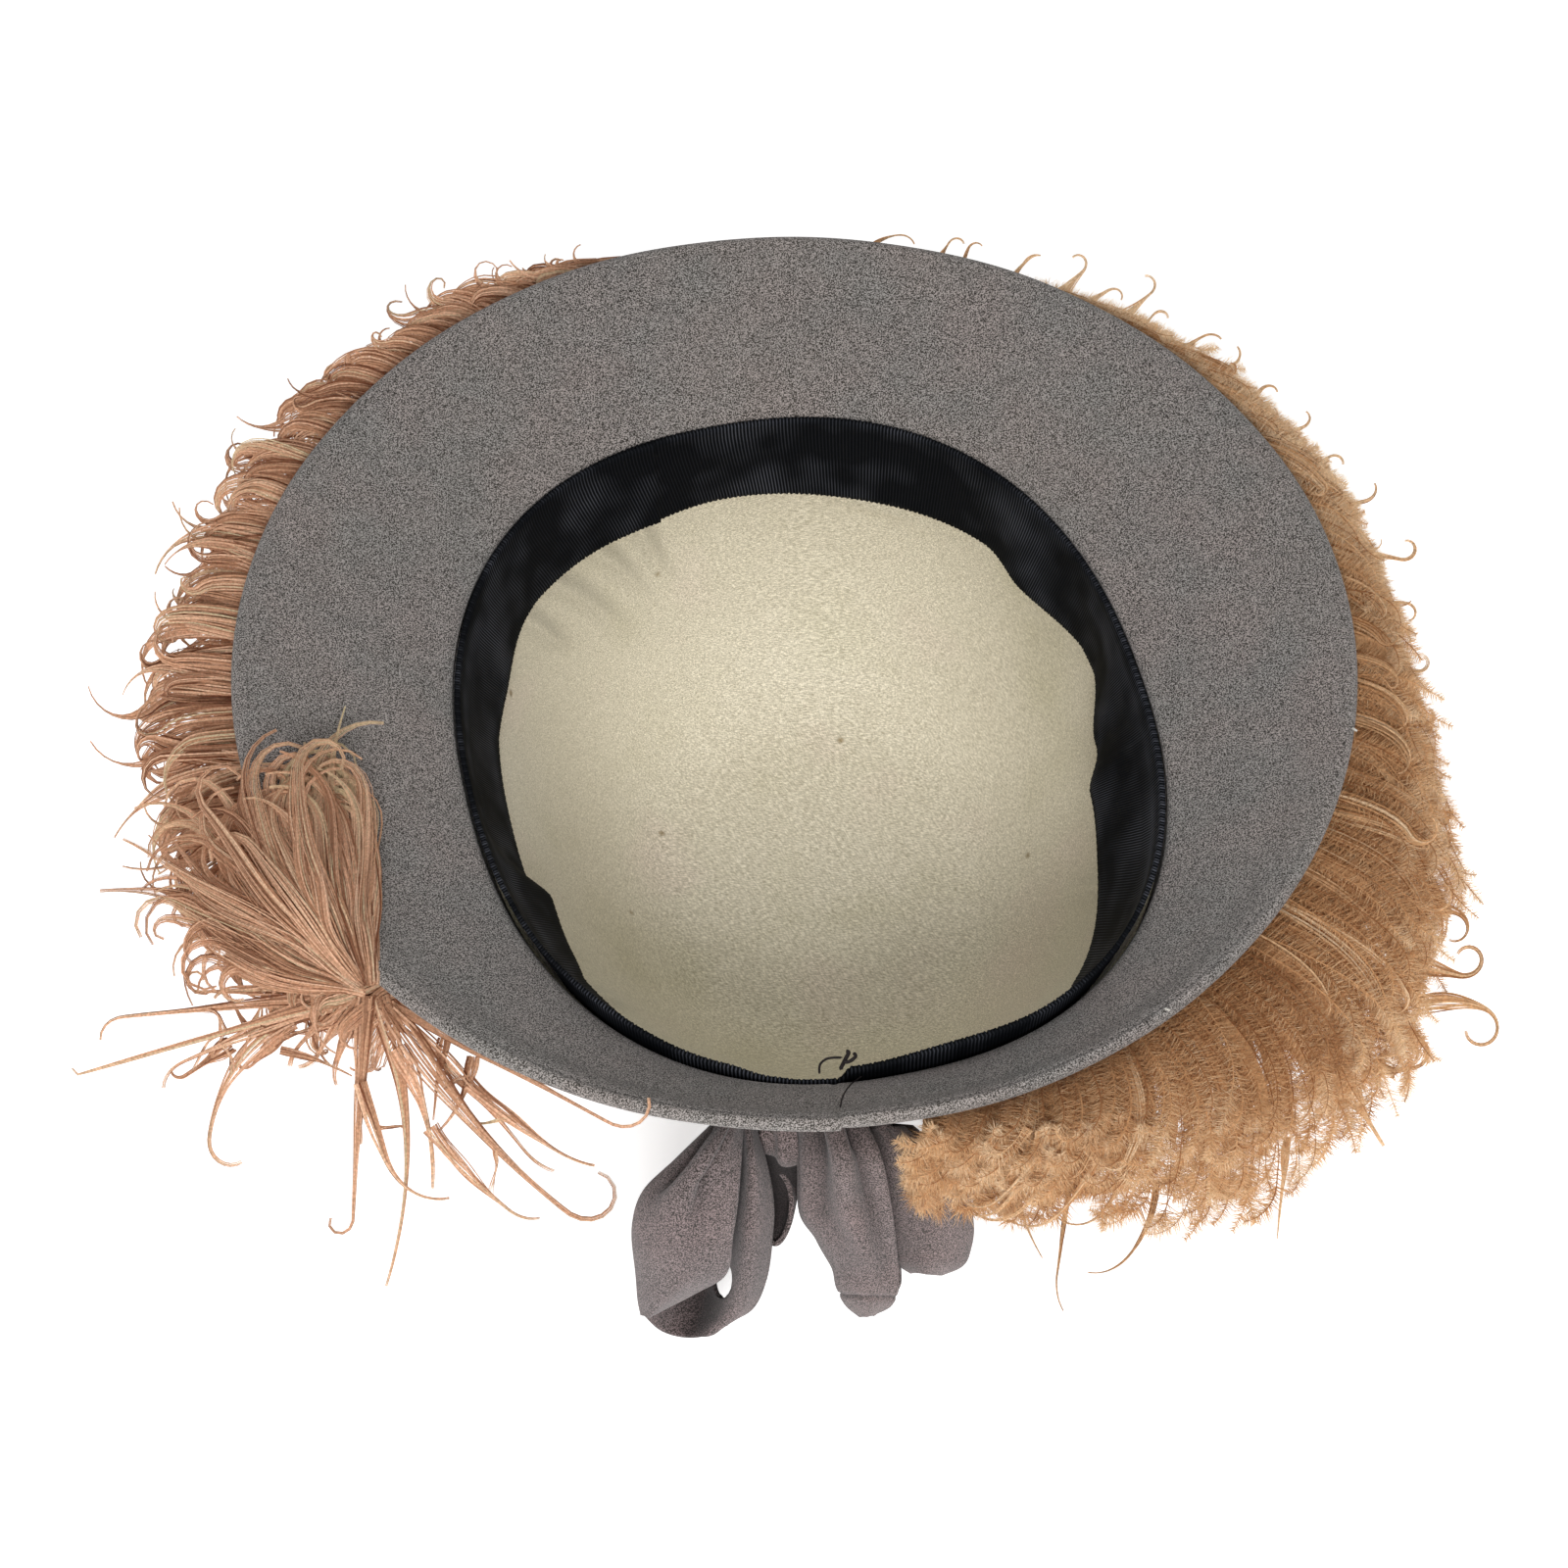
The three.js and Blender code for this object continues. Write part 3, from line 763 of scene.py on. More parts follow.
@dataclass
class Brim:
    """The dished brim: crepe that is drawn over a stiff ring and rolled round the rim's wire."""

    plan: HatPlan
    bead: float = 2.2
    face_end: float = 127.0
    face_rows: int = 26
    swell: float = 1.35
    swell_from: float = 116.0
    around: int = 540
    seam_turn: float = 273.4
    seam_step: float = 0.8
    seam_reach: float = 11.0
    seam_depth: float = 0.5
    seam_width: float = 0.9

    def profile(self) -> tuple[Array, Array]:
        """Closed section: outer side, bead round the wire, inner side that swells up to it."""
        plan = self.plan
        rings = np.linspace(plan.head_ring, self.face_end, self.face_rows)
        low_r, low_z = plan.brim_face(rings, -plan.brim_thick / 2)
        rise = self.swell * smoothstep(rings, self.swell_from, self.face_end)
        top_r, top_z = plan.brim_face(rings, plan.brim_thick / 2 + rise)
        low_r[0] = top_r[0] = plan.head_ring
        turn = np.radians(np.linspace(-140, 140, 15))
        centre = plan.rim_ring - self.bead
        bead_r = centre + self.bead * np.cos(turn)
        bead_z = plan.head_line + plan.rim_rise + self.bead * np.sin(turn)
        return (
            np.concatenate([low_r, bead_r, top_r[::-1]]),
            np.concatenate([low_z, bead_z, top_z[::-1]]),
        )

    def turns(self) -> Array:
        """Directions round the brim in degrees, closer together at the seam."""
        turn = np.linspace(self.seam_turn, self.seam_turn + 360, self.around + 1)[:-1]
        close = self.seam_turn + np.array([-1.0, -0.5, -0.25, -0.08, 0.08, 0.25, 0.6, 1.1])
        return np.unique(np.concatenate([turn[3:-3], close % 360 + 360 * (close % 360 < 180)]))

    def build(self, crepe: bpy.types.Material) -> bpy.types.Object:
        """Turns the section round the plan, with waves in its height and a step at the seam."""
        r, z = self.profile()
        turn = np.sort(self.turns() % 360)
        away = (turn - self.seam_turn + 180) % 360 - 180
        share = smoothstep(r, 92, 131)[:, None]
        step = np.where(away < 0, 1.0, -0.25) * np.exp(-np.abs(away) / self.seam_reach)
        groove = np.exp(-((away / (self.seam_width / 1.9)) ** 2)) * self.seam_depth
        angle = np.radians(turn)
        wave = 0.35 * np.sin(3 * angle + 1.0) + 0.25 * np.sin(7 * angle) + 0.12 * np.sin(17 * angle)
        ring = r[:, None] + share * self.seam_step * step
        height = z[:, None] + share * wave
        upper = (np.arange(len(r)) >= len(r) // 2)[:, None]
        height = height - np.where(upper, groove, -groove)
        points = self.plan.point(ring, angle[None], height)
        faces = grid_faces(len(r), len(turn), close_rows=True, close_cols=True)
        piece = make_mesh("brim_crepe", points.reshape(-1, 3), faces)
        dress(piece, crepe, Slot.CREPE, "brim")
        return piece


@dataclass
class Lining:
    """The silk bowl inside the crown, cut as one piece and drawn smooth."""

    plan: HatPlan
    outset: float = 2.6
    wall: float = 0.8
    top: float = 80.0
    around: int = 450
    steps: int = 62
    flat: tuple[float, float] = (0.232, 0.262)
    area: float = 0.0445
    fold_gain: float = 2.1
    fold_depth: float = 0.9
    fold_more: float = 1.3
    fold_height: float = 0.12
    shade_gain: float = 0.7
    shade_limit: float = 0.22
    wrinkles: tuple[Crease, ...] = (
        Crease(128, 58, 72, 17, 2.5, -0.8),
        Crease(120, 58, 84, 15, 2.3, -0.7),
        Crease(136, 52, 66, 16, 2.6, -0.8),
        Crease(146, 54, 74, 14, 2.5, -0.6),
        Crease(74, 59, 6, 12, 1.8, -0.7),
        Crease(78, 54, 8, 13, 1.8, -0.6),
        Crease(150, 40, 30, 20, 5.0, 0.6),
        Crease(215, 44, 70, 20, 4.0, 0.6),
        Crease(232, 52, 84, 16, 3.0, -0.6),
        Crease(300, 50, 95, 18, 3.6, 0.6),
        Crease(338, 46, 112, 20, 4.0, -0.6),
        Crease(20, 50, 100, 18, 4.0, 0.5),
        Crease(48, 40, 120, 22, 5.0, 0.5),
        Crease(95, 34, 20, 24, 6.0, 0.4),
    )

    def face(self, inset: float) -> tuple[Array, Array]:
        """One face of the bowl: a flat tip, then the crown's side moved in, with wrinkles.

        A wrinkle may be fold_depth deep, and fold_more deeper near the crown's mouth.

        Args:
            inset: How far the face is set in from the crown's outer side.

        Returns:
            Its points and its painted shade, which is deepest where a wrinkle is steepest.
        """
        turn = np.linspace(0, 2 * math.pi, self.around, endpoint=False)
        share = np.linspace(0, 1, self.steps) ** 1.2
        r, z = self.plan.crown_profile(share, inset)
        keep = z < self.top - 0.5
        mouth = self.plan.crown_radius(self.top, inset)
        r = np.concatenate([[0.0, 9.0, 18.0, 27.0], r[keep], [mouth]])
        z = np.concatenate([np.full(4, inset), z[keep], [self.top]])
        fold = creased(self.wrinkles, np.degrees(turn)[None], z[:, None])
        deepest = -self.fold_depth - self.fold_more * smoothstep(-z, -61, -55)[:, None]
        fold = np.clip(self.fold_gain * fold, deepest, self.fold_height)
        fold = fold * smoothstep(z, 3, 14)[:, None]
        # painted shade: darkest where a wrinkle's side is steepest
        shade = np.clip(self.shade_gain * np.abs(np.gradient(fold, axis=1)), 0, self.shade_limit)
        return self.plan.point(r[:, None] + fold, turn[None], z[:, None], leaning=True), shade

    def build(self, silk: bpy.types.Material) -> bpy.types.Object:
        outer, outer_shade = self.face(self.outset)
        inner, inner_shade = self.face(self.outset + self.wall)
        points = np.concatenate([outer, inner[::-1]])
        shade = np.concatenate([outer_shade, inner_shade[::-1]]).ravel()
        faces = grid_faces(len(points), self.around, close_cols=True)
        piece = make_mesh("lining_bowl", points.reshape(-1, 3), faces, shade=shade, weld=True)
        dress(piece, silk, Slot.SILK, "lining")
        return piece


@dataclass(frozen=True)
class Stance:
    """How the sweatband stands at a turn: lean of its foot, and rise of its top edge."""

    turn: float
    lean: float
    rise: float


@dataclass
class Sweatband:
    """Black ribbed ribbon, sewn in at its top edge, with picots along both edges."""

    plan: HatPlan
    inset: float = 3.95
    wall: float = 1.0
    foot: float = 63.0
    width: float = 25.0
    seam_gap: float = 0.6
    lining_top: float = 80.0
    ribs: int = RIBS
    rib_height: float = 0.22
    picots: int = 460
    picot_height: float = 0.6
    lap_turn: float = 113.0
    stances: tuple[Stance, ...] = (
        Stance(0, 12.5, 1.5),
        Stance(12, 7.6, 1),
        Stance(31, 0.5, 1),
        Stance(50, 4.4, 1),
        Stance(60, 0.8, 1),
        Stance(81, 2, 1),
        Stance(102, 0.4, 1),
        Stance(120, 3.4, 1),
        Stance(137, 3.8, 1),
        Stance(158, 8.2, 1),
        Stance(182, 7.2, 1.2),
        Stance(196, 7, 1.6),
        Stance(207, 14.2, 2.4),
        Stance(220, 13.6, 3.6),
        Stance(240, 9, 5.6),
        Stance(259, 6, 3.4),
        Stance(265.5, 5, 0.8),
        Stance(269, 5, 0.1),
        Stance(274, 5, 0.1),
        Stance(275.8, 5, 4.6),
        Stance(290, 6, 7),
        Stance(305, 8, 5),
        Stance(320, 11.2, 4.2),
        Stance(345, 13.2, 2),
        Stance(360, 12.5, 1.5),
    )

    def face(self, turn: Array, heights: Array, inset: float, back: float) -> Array:
        """One face of the ribbon: on the lining, or hung free where the stance leans further.

        Args:
            turn: Directions in radians.
            heights: Heights before the top edge is lifted.
            inset: Inset of the crown's side that the face lies on.
            back: How far the face is set in from the hung surface.

        Returns:
            Array (heights, turns, 3).
        """
        z = heights[:, None]
        sewn = smoothstep(z, self.lining_top, self.plan.head_line - 3.0)
        laid = self.plan.crown_radius(np.minimum(z, self.plan.crown_edge - 1.0), inset)
        ring = laid + (self.plan.head_ring - self.seam_gap - back - laid) * sewn
        point = self.plan.point(ring, turn[None], z, leaning=True)
        angle = np.arctan2(point[..., 1], point[..., 0])
        degrees = np.degrees(angle) % 360
        lean = column(self.stances, "turn", "lean", degrees)
        rise = column(self.stances, "turn", "rise", degrees)
        down = np.maximum(0.0, (self.plan.head_line - z) / self.width)
        hung = self.plan.head(angle) - self.seam_gap - lean * down - back
        radius = np.minimum(np.hypot(point[..., 0], point[..., 1]), hung)
        rib = self.rib_height * np.abs(np.sin(angle * self.ribs / 2))
        away = (degrees - self.lap_turn + 180) % 360 - 180
        lap = 0.9 * np.exp(-np.maximum(away, 0) / 3.0) * smoothstep(away, -0.12, 0.12)
        radius = radius - (rib + lap if back > 0 else 0.0)
        scallop = self.picot_height * np.abs(np.sin(angle * self.picots / 2)) ** 0.7
        foot = smoothstep(-z, -self.foot - 1.2, -self.foot)
        head = smoothstep(z, self.plan.head_line - 1.0, self.plan.head_line)
        lift = rise * smoothstep(z, self.lining_top + 2.0, self.plan.head_line)
        height = z + lift - scallop * foot + scallop * 0.8 * head
        return np.stack([radius * np.cos(angle), radius * np.sin(angle), height], -1)

    def build(self, ribbon: bpy.types.Material) -> bpy.types.Object:
        columns = self.ribs * 3
        turn = np.linspace(0, 2 * math.pi, columns, endpoint=False) + 1e-4
        shares = np.array([0, 0.05, 0.15, 0.35, 0.55, 0.72, 0.86, 0.95, 1.0])
        heights = self.foot + self.width * shares
        outer = self.face(turn, heights, self.inset, 0.0)
        inner = self.face(turn, heights, self.inset + self.wall, self.wall)[::-1]
        points = np.concatenate([outer, inner])
        faces = grid_faces(len(points), columns, close_rows=True, close_cols=True)
        length = RIBBON_LENGTH * turn / (2 * math.pi)
        up = np.concatenate([shares, shares[::-1]]) * self.width * MM
        uv = np.stack(np.broadcast_arrays(length[None], up[:, None]), -1).reshape(-1, 2)
        piece = make_mesh("sweatband_ribbon", points.reshape(-1, 3), faces, uv=uv)
        dress(piece, ribbon, Slot.GROSGRAIN, "sweatband")
        return piece


@dataclass(frozen=True)
class WrapRow:
    """One row across a wrapped ribbon: its front edge, its fold and its back edge, as pixels.

    front_y and back_y are how deep the front and the back lie. sag lowers the middle of the
    back by this many pixels, and hollow is the share of the loop's depth that the row has.
    """

    front: Pixel
    fold: Pixel
    back: Pixel
    front_y: float
    back_y: float
    sag: float = 0.0
    hollow: float = 1.0


@dataclass(frozen=True)
class BowLoop:
    """A loop of the bow: a ribbon that wraps from its front edge round a fold to its back edge.

    depth is how far the back hollows out behind its edges, and lip how far it comes forward
    again beside its back edge. pleat_lines are the places across the front where valleys fan
    out from the knot. gap is the pixel of an opening through the back, with its half width and
    half height in pixels. murk is how dark the painted shade in the hollow behind is.
    hem_crease is the place down the loop of a crease across it, or 0 for none.
    """

    name: str
    node: str
    flat: tuple[float, float]
    area: float
    rows: tuple[WrapRow, ...]
    bulge: float = 3.0
    depth: float = 5.0
    lip: float = -2.0
    pleat_lines: tuple[float, ...] = ()
    pleat_depth: float = 2.2
    gap: tuple[float, float, float, float] | None = None
    murk: float = 0.6
    hem_crease: float = 0.0


@dataclass(frozen=True)
class TubeRing:
    """An oval section of a tube of ribbon: its middle and half sizes in pixels, and its depth.

    facing is the oval's share of facing the eye, from 0 to 1.
    """

    middle: Pixel
    half: Pixel
    y: float
    facing: float = 0.0


@dataclass
class Bow:
    """Knot and four loops of folded crepe, a little redder than the brim."""

    sight: Sight
    cloth: float = 1.1
    across: int = 90
    down: int = 56
    crease_sag: float = 0.5
    crease_width: float = 0.013
    crease_depth: float = 0.7
    crease_shade: float = 0.55
    knot_rows: int = 40
    knot_around: int = 72
    knot_centre: tuple[float, float, float] = (0.0, -103.6, 76.5)
    knot_half: tuple[float, float, float] = (10.5, 5.6, 10.0)
    tube_rows: int = 26
    tube_around: int = 48
    tube_flat: tuple[float, float] = (0.026, 0.032)
    tube_area: float = 0.0007
    tube: tuple[TubeRing, ...] = (
        TubeRing((795, 1150), (18, 5), -103, 0.0),
        TubeRing((795, 1174), (19, 16), -102, 0.3),
        TubeRing((795, 1204), (18, 32), -103, 0.7),
        TubeRing((793, 1226), (16, 39), -106, 1.0),
        TubeRing((792, 1231), (15, 37), -108, 1.0),
    )
    loops: tuple[BowLoop, ...] = (
        BowLoop(
            "bow_left",
            "bow_loop_left",
            (0.098, 0.078),
            0.0063,
            (
                WrapRow((757, 1146), (728, 1148), (768, 1146), -110, -106, 0, 0.5),
                WrapRow((755, 1180), (690, 1184), (781, 1188), -116, -109),
                WrapRow((752, 1218), (655, 1216), (787, 1225), -121, -112),
                WrapRow((747, 1258), (645, 1252), (786, 1258), -124, -114),
                WrapRow((741, 1298), (651, 1300), (781, 1302), -125, -116, 4, 0.9),
                WrapRow((712, 1318), (654, 1326), (768, 1334), -124, -118, 9, 0.45),
                WrapRow((666, 1342), (658, 1343), (742, 1350), -121, -119, 18, 0.05),
            ),
            bulge=4.0,
            depth=13.0,
            lip=5.0,
            pleat_lines=(0.13, 0.28, 0.42),
            pleat_depth=3.4,
            gap=(739, 1305, 10, 11),
        ),
        BowLoop(
            "bow_right",
            "bow_loop_right",
            (0.062, 0.072),
            0.0035,
            (
                WrapRow((884, 1148), (813, 1148), (886, 1146), -111, -104),
                WrapRow((899, 1180), (812, 1192), (900, 1178), -116, -106),
                WrapRow((908, 1220), (812, 1240), (911, 1215), -118, -107),
                WrapRow((914, 1262), (832, 1268), (916, 1255), -119, -108),
                WrapRow((917, 1300), (850, 1292), (919, 1296), -119, -110),
                WrapRow((916, 1318), (856, 1312), (917, 1314), -119, -113, 2, 0.6),
                WrapRow((908, 1333), (865, 1329), (909, 1330), -118, -114, 1, 0.3),
                WrapRow((890, 1342), (879, 1341), (891, 1341), -116, -115, 0, 0.05),
            ),
            bulge=3.0,
            depth=4.0,
            pleat_lines=(0.08, 0.23, 0.34),
            pleat_depth=3.0,
            murk=0.1,
            hem_crease=0.78,
        ),
        BowLoop(
            "bow_rear_right",
            "bow_loop_rear_right",
            (0.058, 0.066),
            0.0029,
            (
                WrapRow((880, 1148), (930, 1150), (884, 1146), -105, -101),
                WrapRow((888, 1180), (968, 1182), (892, 1172), -107, -100),
                WrapRow((898, 1215), (988, 1215), (900, 1205), -109, -99),
                WrapRow((908, 1252), (993, 1250), (910, 1245), -110, -100),
                WrapRow((914, 1278), (988, 1274), (915, 1278), -110, -102),
                WrapRow((918, 1290), (980, 1289), (918, 1289), -110, -105, 0, 0.4),
                WrapRow((930, 1298), (960, 1298), (930, 1297), -109, -107, 0, 0.1),
            ),
            bulge=3.5,
            depth=4.0,
            pleat_lines=(0.16, 0.3),
            pleat_depth=2.6,
            murk=0.3,
        ),
    )

    def surface(self, loop: BowLoop) -> Array:
        """The ribbon's middle surface.

        Each row is a curve from the front edge over a bulge to the fold, then through three
        places behind it to the back edge, and the rows are joined downwards by curves too.

        Args:
            loop: The loop.

        Returns:
            Array (down, across, 3).
        """
        front, fold, back = (
            np.array([getattr(row, key) for row in loop.rows], float)
            for key in ("front", "fold", "back")
        )
        front_y, back_y, sag, hollow = (
            np.array([getattr(row, key) for row in loop.rows], float)
            for key in ("front_y", "back_y", "sag", "hollow")
        )
        section = [
            self.sight.at_depth(front, front_y),
            self.sight.at_depth(front * 0.5 + fold * 0.5, front_y - loop.bulge),
            self.sight.at_depth(fold, front_y * 0.55 + back_y * 0.45),
        ]
        hollows = ((0.24, 0.82, 0.7), (0.56, 1.0, 1.0), (0.82, 0.64, -loop.lip / loop.depth))
        for share, drop, depth in hollows:
            pixel = fold * (1 - share) + back * share + np.stack([0 * sag, sag * drop], -1)
            section.append(self.sight.at_depth(pixel, back_y + loop.depth * depth * hollow))
        section.append(self.sight.at_depth(back, back_y))
        rows = through(np.stack(section, axis=1), self.across)
        return through(np.swapaxes(rows, 0, 1), self.down).swapaxes(0, 1)

    def pleated(self, loop: BowLoop, middle: Array) -> tuple[Array, Array]:
        """Presses the pleats' valleys, the hem's crease and soft ripples into the surface.

        A valley is a narrow bell across the ribbon that widens and fades towards the hem. The
        crease is a bell along a line that sags across the loop.

        Args:
            loop: The loop with its pleat lines.
            middle: The surface.

        Returns:
            The pressed surface and its painted shade, which is deepest in the valleys and the hollow.
        """
        u = np.linspace(0, 1, self.across)[None]
        v = np.linspace(0, 1, self.down)[:, None]
        normal = unit(np.cross(np.gradient(middle, axis=1), np.gradient(middle, axis=0)))
        outward = np.sign((normal[:, : self.across // 3] * [0.0, -1.0, 0.3]).sum())
        press = 0.35 * np.sin(9 * u + 5 * v) * smoothstep(v, 0.1, 0.5)
        # painted shade in the hollow behind the fold, and at the top of the loop by the knot
        shade = loop.murk * smoothstep(u, 0.52, 0.66) * (1 - smoothstep(u, 0.74, 0.84))
        shade = shade + 0.55 * (1 - smoothstep(v, 0.0, 0.22))
        if loop.hem_crease:
            below = v - loop.hem_crease + self.crease_sag * (u - 0.2) ** 2
            crease = np.exp(-((below / self.crease_width) ** 2))
            press = press - self.crease_depth * crease
            # painted shade along the crease
            shade = shade + self.crease_shade * crease
        for number, line in enumerate(loop.pleat_lines):
            wide = 0.022 + 0.07 * v
            bell = np.exp(-(((u - line - 0.02 * v * (number - 1)) / wide) ** 2))
            bell = bell * (1 - smoothstep(v, 0.15, 0.8 - 0.12 * number))
            press = press - loop.pleat_depth * bell
            # painted shade in the pleats' valleys
            shade = shade + 0.6 * bell**1.5
        return middle + normal * outward * press[..., None], np.clip(shade, 0, 0.85)

    def parted(self, loop: BowLoop, middle: Array, quads: Array) -> tuple[Array, Array]:
        """Opens the gap: vertices inside an oval in the picture move out to its edge.

        Args:
            loop: The loop with its gap.
            middle: The surface.
            quads: Its faces.

        Returns:
            The moved surface and the faces that are left.
        """
        x, y, wide, tall = loop.gap
        eye = np.array(self.sight.place)
        points = middle.reshape(-1, 3)
        aim = self.sight.rays(np.array([x, y], float))
        share = (points - eye) @ aim / (aim @ aim)
        off = points - eye - share[:, None] * aim
        scale = self.sight.focal / 1000.0
        across = off[:, 0] * scale / wide * 1.1
        over = off[:, 2] * scale / tall * 1.3
        reach = np.hypot(across, over)
        behind = np.tile(np.arange(self.across) > self.across * 0.45, self.down)
        inside = (reach < 1) & behind
        push = np.where(inside, 1 / np.maximum(reach, 0.2), 1.0)[:, None]
        moved = points + off * (push - 1)
        return moved.reshape(middle.shape), quads[~inside[quads].all(axis=1)]

    def loop(self, loop: BowLoop, crepe: bpy.types.Material) -> bpy.types.Object:
        """Makes one loop and gives the cloth its thickness."""
        middle, shade = self.pleated(loop, self.surface(loop))
        quads = grid_faces(self.down, self.across)
        if loop.gap:
            middle, quads = self.parted(loop, middle, quads)
        used, quads = np.unique(quads, return_inverse=True)
        points, shade = middle.reshape(-1, 3)[used], shade.reshape(-1)[used]
        piece = make_mesh(loop.name, points, quads.reshape(-1, 4), shade=shade)
        cloth = piece.modifiers.new("cloth", "SOLIDIFY")
        cloth.thickness, cloth.offset = self.cloth * MM, 0.0
        dress(piece, crepe, Slot.CREPE, loop.node)
        return piece

    def small_tube(self, crepe: bpy.types.Material) -> bpy.types.Object:
        """Makes the small rear loop: a tube through ovals that opens towards the eye.

        A point of an oval lies at its angle in the picture, and deeper the higher it is by the
        oval's share of facing the eye.
        """
        turn = np.linspace(0, 2 * math.pi, self.tube_around, endpoint=False)
        rings = []
        for ring in self.tube:
            wave = 1 + 0.05 * np.sin(3 * turn + 1.0)
            across = ring.half[0] * wave * np.cos(turn)
            over = ring.half[1] * wave * np.sin(turn)
            pixel = np.stack([ring.middle[0] + across, ring.middle[1] - over], -1)
            depth = ring.y + over * (0.15 * ring.facing) - 0.04 * (1 - ring.facing) * over
            rings.append(self.sight.at_depth(pixel, depth))
        skin = through(np.swapaxes(np.array(rings), 0, 1), self.tube_rows).swapaxes(0, 1)
        # painted shade over most of the tube, fading out towards its open end by the eye
        inward = np.linspace(0, 1, self.tube_rows)
        shade = np.repeat(0.9 * (1 - smoothstep(inward, 0.55, 0.95)), self.tube_around)
        faces = grid_faces(self.tube_rows, self.tube_around, close_cols=True)
        piece = make_mesh("bow_rear_left", skin.reshape(-1, 3), faces, shade=shade)
        cloth = piece.modifiers.new("cloth", "SOLIDIFY")
        cloth.thickness, cloth.offset = self.cloth * MM, 0.0
        dress(piece, crepe, Slot.CREPE, "bow_loop_rear_left")
        return piece

    def knot(self, crepe: bpy.types.Material) -> bpy.types.Object:
        """Makes the knot: an ellipsoid whose folds run over it from side to side."""
        lat = np.linspace(-math.pi / 2, math.pi / 2, self.knot_rows)[:, None]
        lon = np.linspace(0, 2 * math.pi, self.knot_around, endpoint=False)[None]
        fold = 1 + 0.09 * np.sin(9 * lat + 0.6 * np.sin(lon)) + 0.03 * np.sin(3 * lon + 4 * lat)
        ring = np.cos(lat)
        shape = np.stack([np.sin(lat) + 0 * lon, ring * np.cos(lon), ring * np.sin(lon)], -1)
        points = np.array(self.knot_centre) + shape * np.array(self.knot_half) * fold[..., None]
        faces = grid_faces(self.knot_rows, self.knot_around, close_cols=True)
        piece = make_mesh("bow_tie", points.reshape(-1, 3), faces, weld=True)
        dress(piece, crepe, Slot.CREPE, "bow_knot")
        return piece

    def build(self, crepe: bpy.types.Material) -> list[bpy.types.Object]:
        """Makes the knot and the four loops."""
        loops = (self.loop(loop, crepe) for loop in self.loops)
        return [self.knot(crepe), self.small_tube(crepe), *loops]


@dataclass(frozen=True)
class Fluff:
    """Sizes of barbules in millimetres and degrees.

    angle is their lean from the hair, with its spread, and lift their lean out of its plane.
    taper shortens them towards the hair's tip, and paler is added to their tone.
    """

    spacing: float
    length: float
    width: float
    angle: float
    spread: float = 12.0
    lift: float = 24.0
    taper: float = 0.3
    paler: float = 0.12


@dataclass
class Hairs:
    """Many fine hairs at once, each a narrow ribbon along a path.

    paths is (N, K, 3), width and tone are (N, K), and roll is how far each ribbon is turned
    from facing the eye, in radians.
    """

    paths: Array
    width: Array
    tone: Array
    roll: Array

    def sides(self) -> tuple[Array, Array, Array]:
        """Unit directions ahead, across and over each hair at each step."""
        ahead = unit(np.gradient(self.paths, axis=1))
        across = unit(np.cross(ahead, np.array(TO_EYE)))
        across = rotated(across, ahead, np.broadcast_to(self.roll[:, None], across.shape[:2]))
        return ahead, across, unit(np.cross(across, ahead))

    def ribbons(self) -> tuple[Array, Array, Array]:
        """Vertices, quads and tones: half the width to each side of the path at each step."""
        count, steps, _ = self.paths.shape
        side = self.sides()[1] * (self.width / 2)[..., None]
        points = np.stack([self.paths + side, self.paths - side], axis=2)
        start = (np.arange(count) * steps * 2)[:, None, None]
        faces = (grid_faces(steps, 2)[None] + start).reshape(-1, 4)
        tone = np.broadcast_to(self.tone[..., None], (count, steps, 2))
        return points.reshape(-1, 3), faces, tone.reshape(-1)

    def barbules(self, rng: np.random.Generator, fluff: Fluff) -> tuple[Array, Array, Array]:
        """Soft short hairs on both sides of each hair, each one slim triangle.

        A barbule stands on the hair's line and points ahead and to the side by an angle, with a
        random lift. Its length follows the square root of a hump along the hair.

        Args:
            rng: Source of random numbers.
            fluff: Sizes of the barbules.

        Returns:
            Vertices, triangles and tones.
        """
        count, steps, _ = self.paths.shape
        reach = np.linalg.norm(np.diff(self.paths, axis=1), axis=-1).sum(1)
        each = max(4, int(np.mean(reach) / fluff.spacing))
        shape = (count, each)
        place = (np.arange(each) + 0.5)[None] / each + rng.normal(0, 0.4 / each, shape)
        place = np.clip(place, 0.02, 0.985) * (steps - 1)
        low = np.minimum(place.astype(int), steps - 2)
        rows = np.arange(count)[:, None]
        t = (place - low)[..., None]
        base = self.paths[rows, low] * (1 - t) + self.paths[rows, low + 1] * t
        ahead, across, over = (side[rows, low] for side in self.sides())
        share = place / (steps - 1)
        hump = np.sqrt(np.clip((share + 0.3) * (1.04 - share) * 2.6, 0, 1))
        hump = hump * (1 - fluff.taper * share)
        parts = []
        for side in (-1.0, 1.0):
            lift = np.radians(rng.normal(0, fluff.lift, shape))[..., None]
            tilt = np.radians(rng.normal(fluff.angle, fluff.spread, shape))[..., None]
            out = side * across * np.cos(lift) + over * np.sin(lift)
            aim = ahead * np.cos(tilt) + out * np.sin(tilt)
            long = (fluff.length * hump * rng.uniform(0.6, 1.15, shape))[..., None]
            foot = ahead * fluff.width / 2
            parts.append(np.stack([base - foot, base + foot, base + aim * long], axis=2))
        points = np.stack(parts, axis=1).reshape(-1, 3)
        faces = np.arange(len(points)).reshape(-1, 3)
        tone = self.tone[rows, low][:, None, :, None] + fluff.paler + np.array([0.0, 0.0, 0.1])
        own = rng.normal(0, 0.15, (count, 2, each, 1))
        return points, faces, np.broadcast_to(tone + own, (count, 2, each, 3)).reshape(-1)


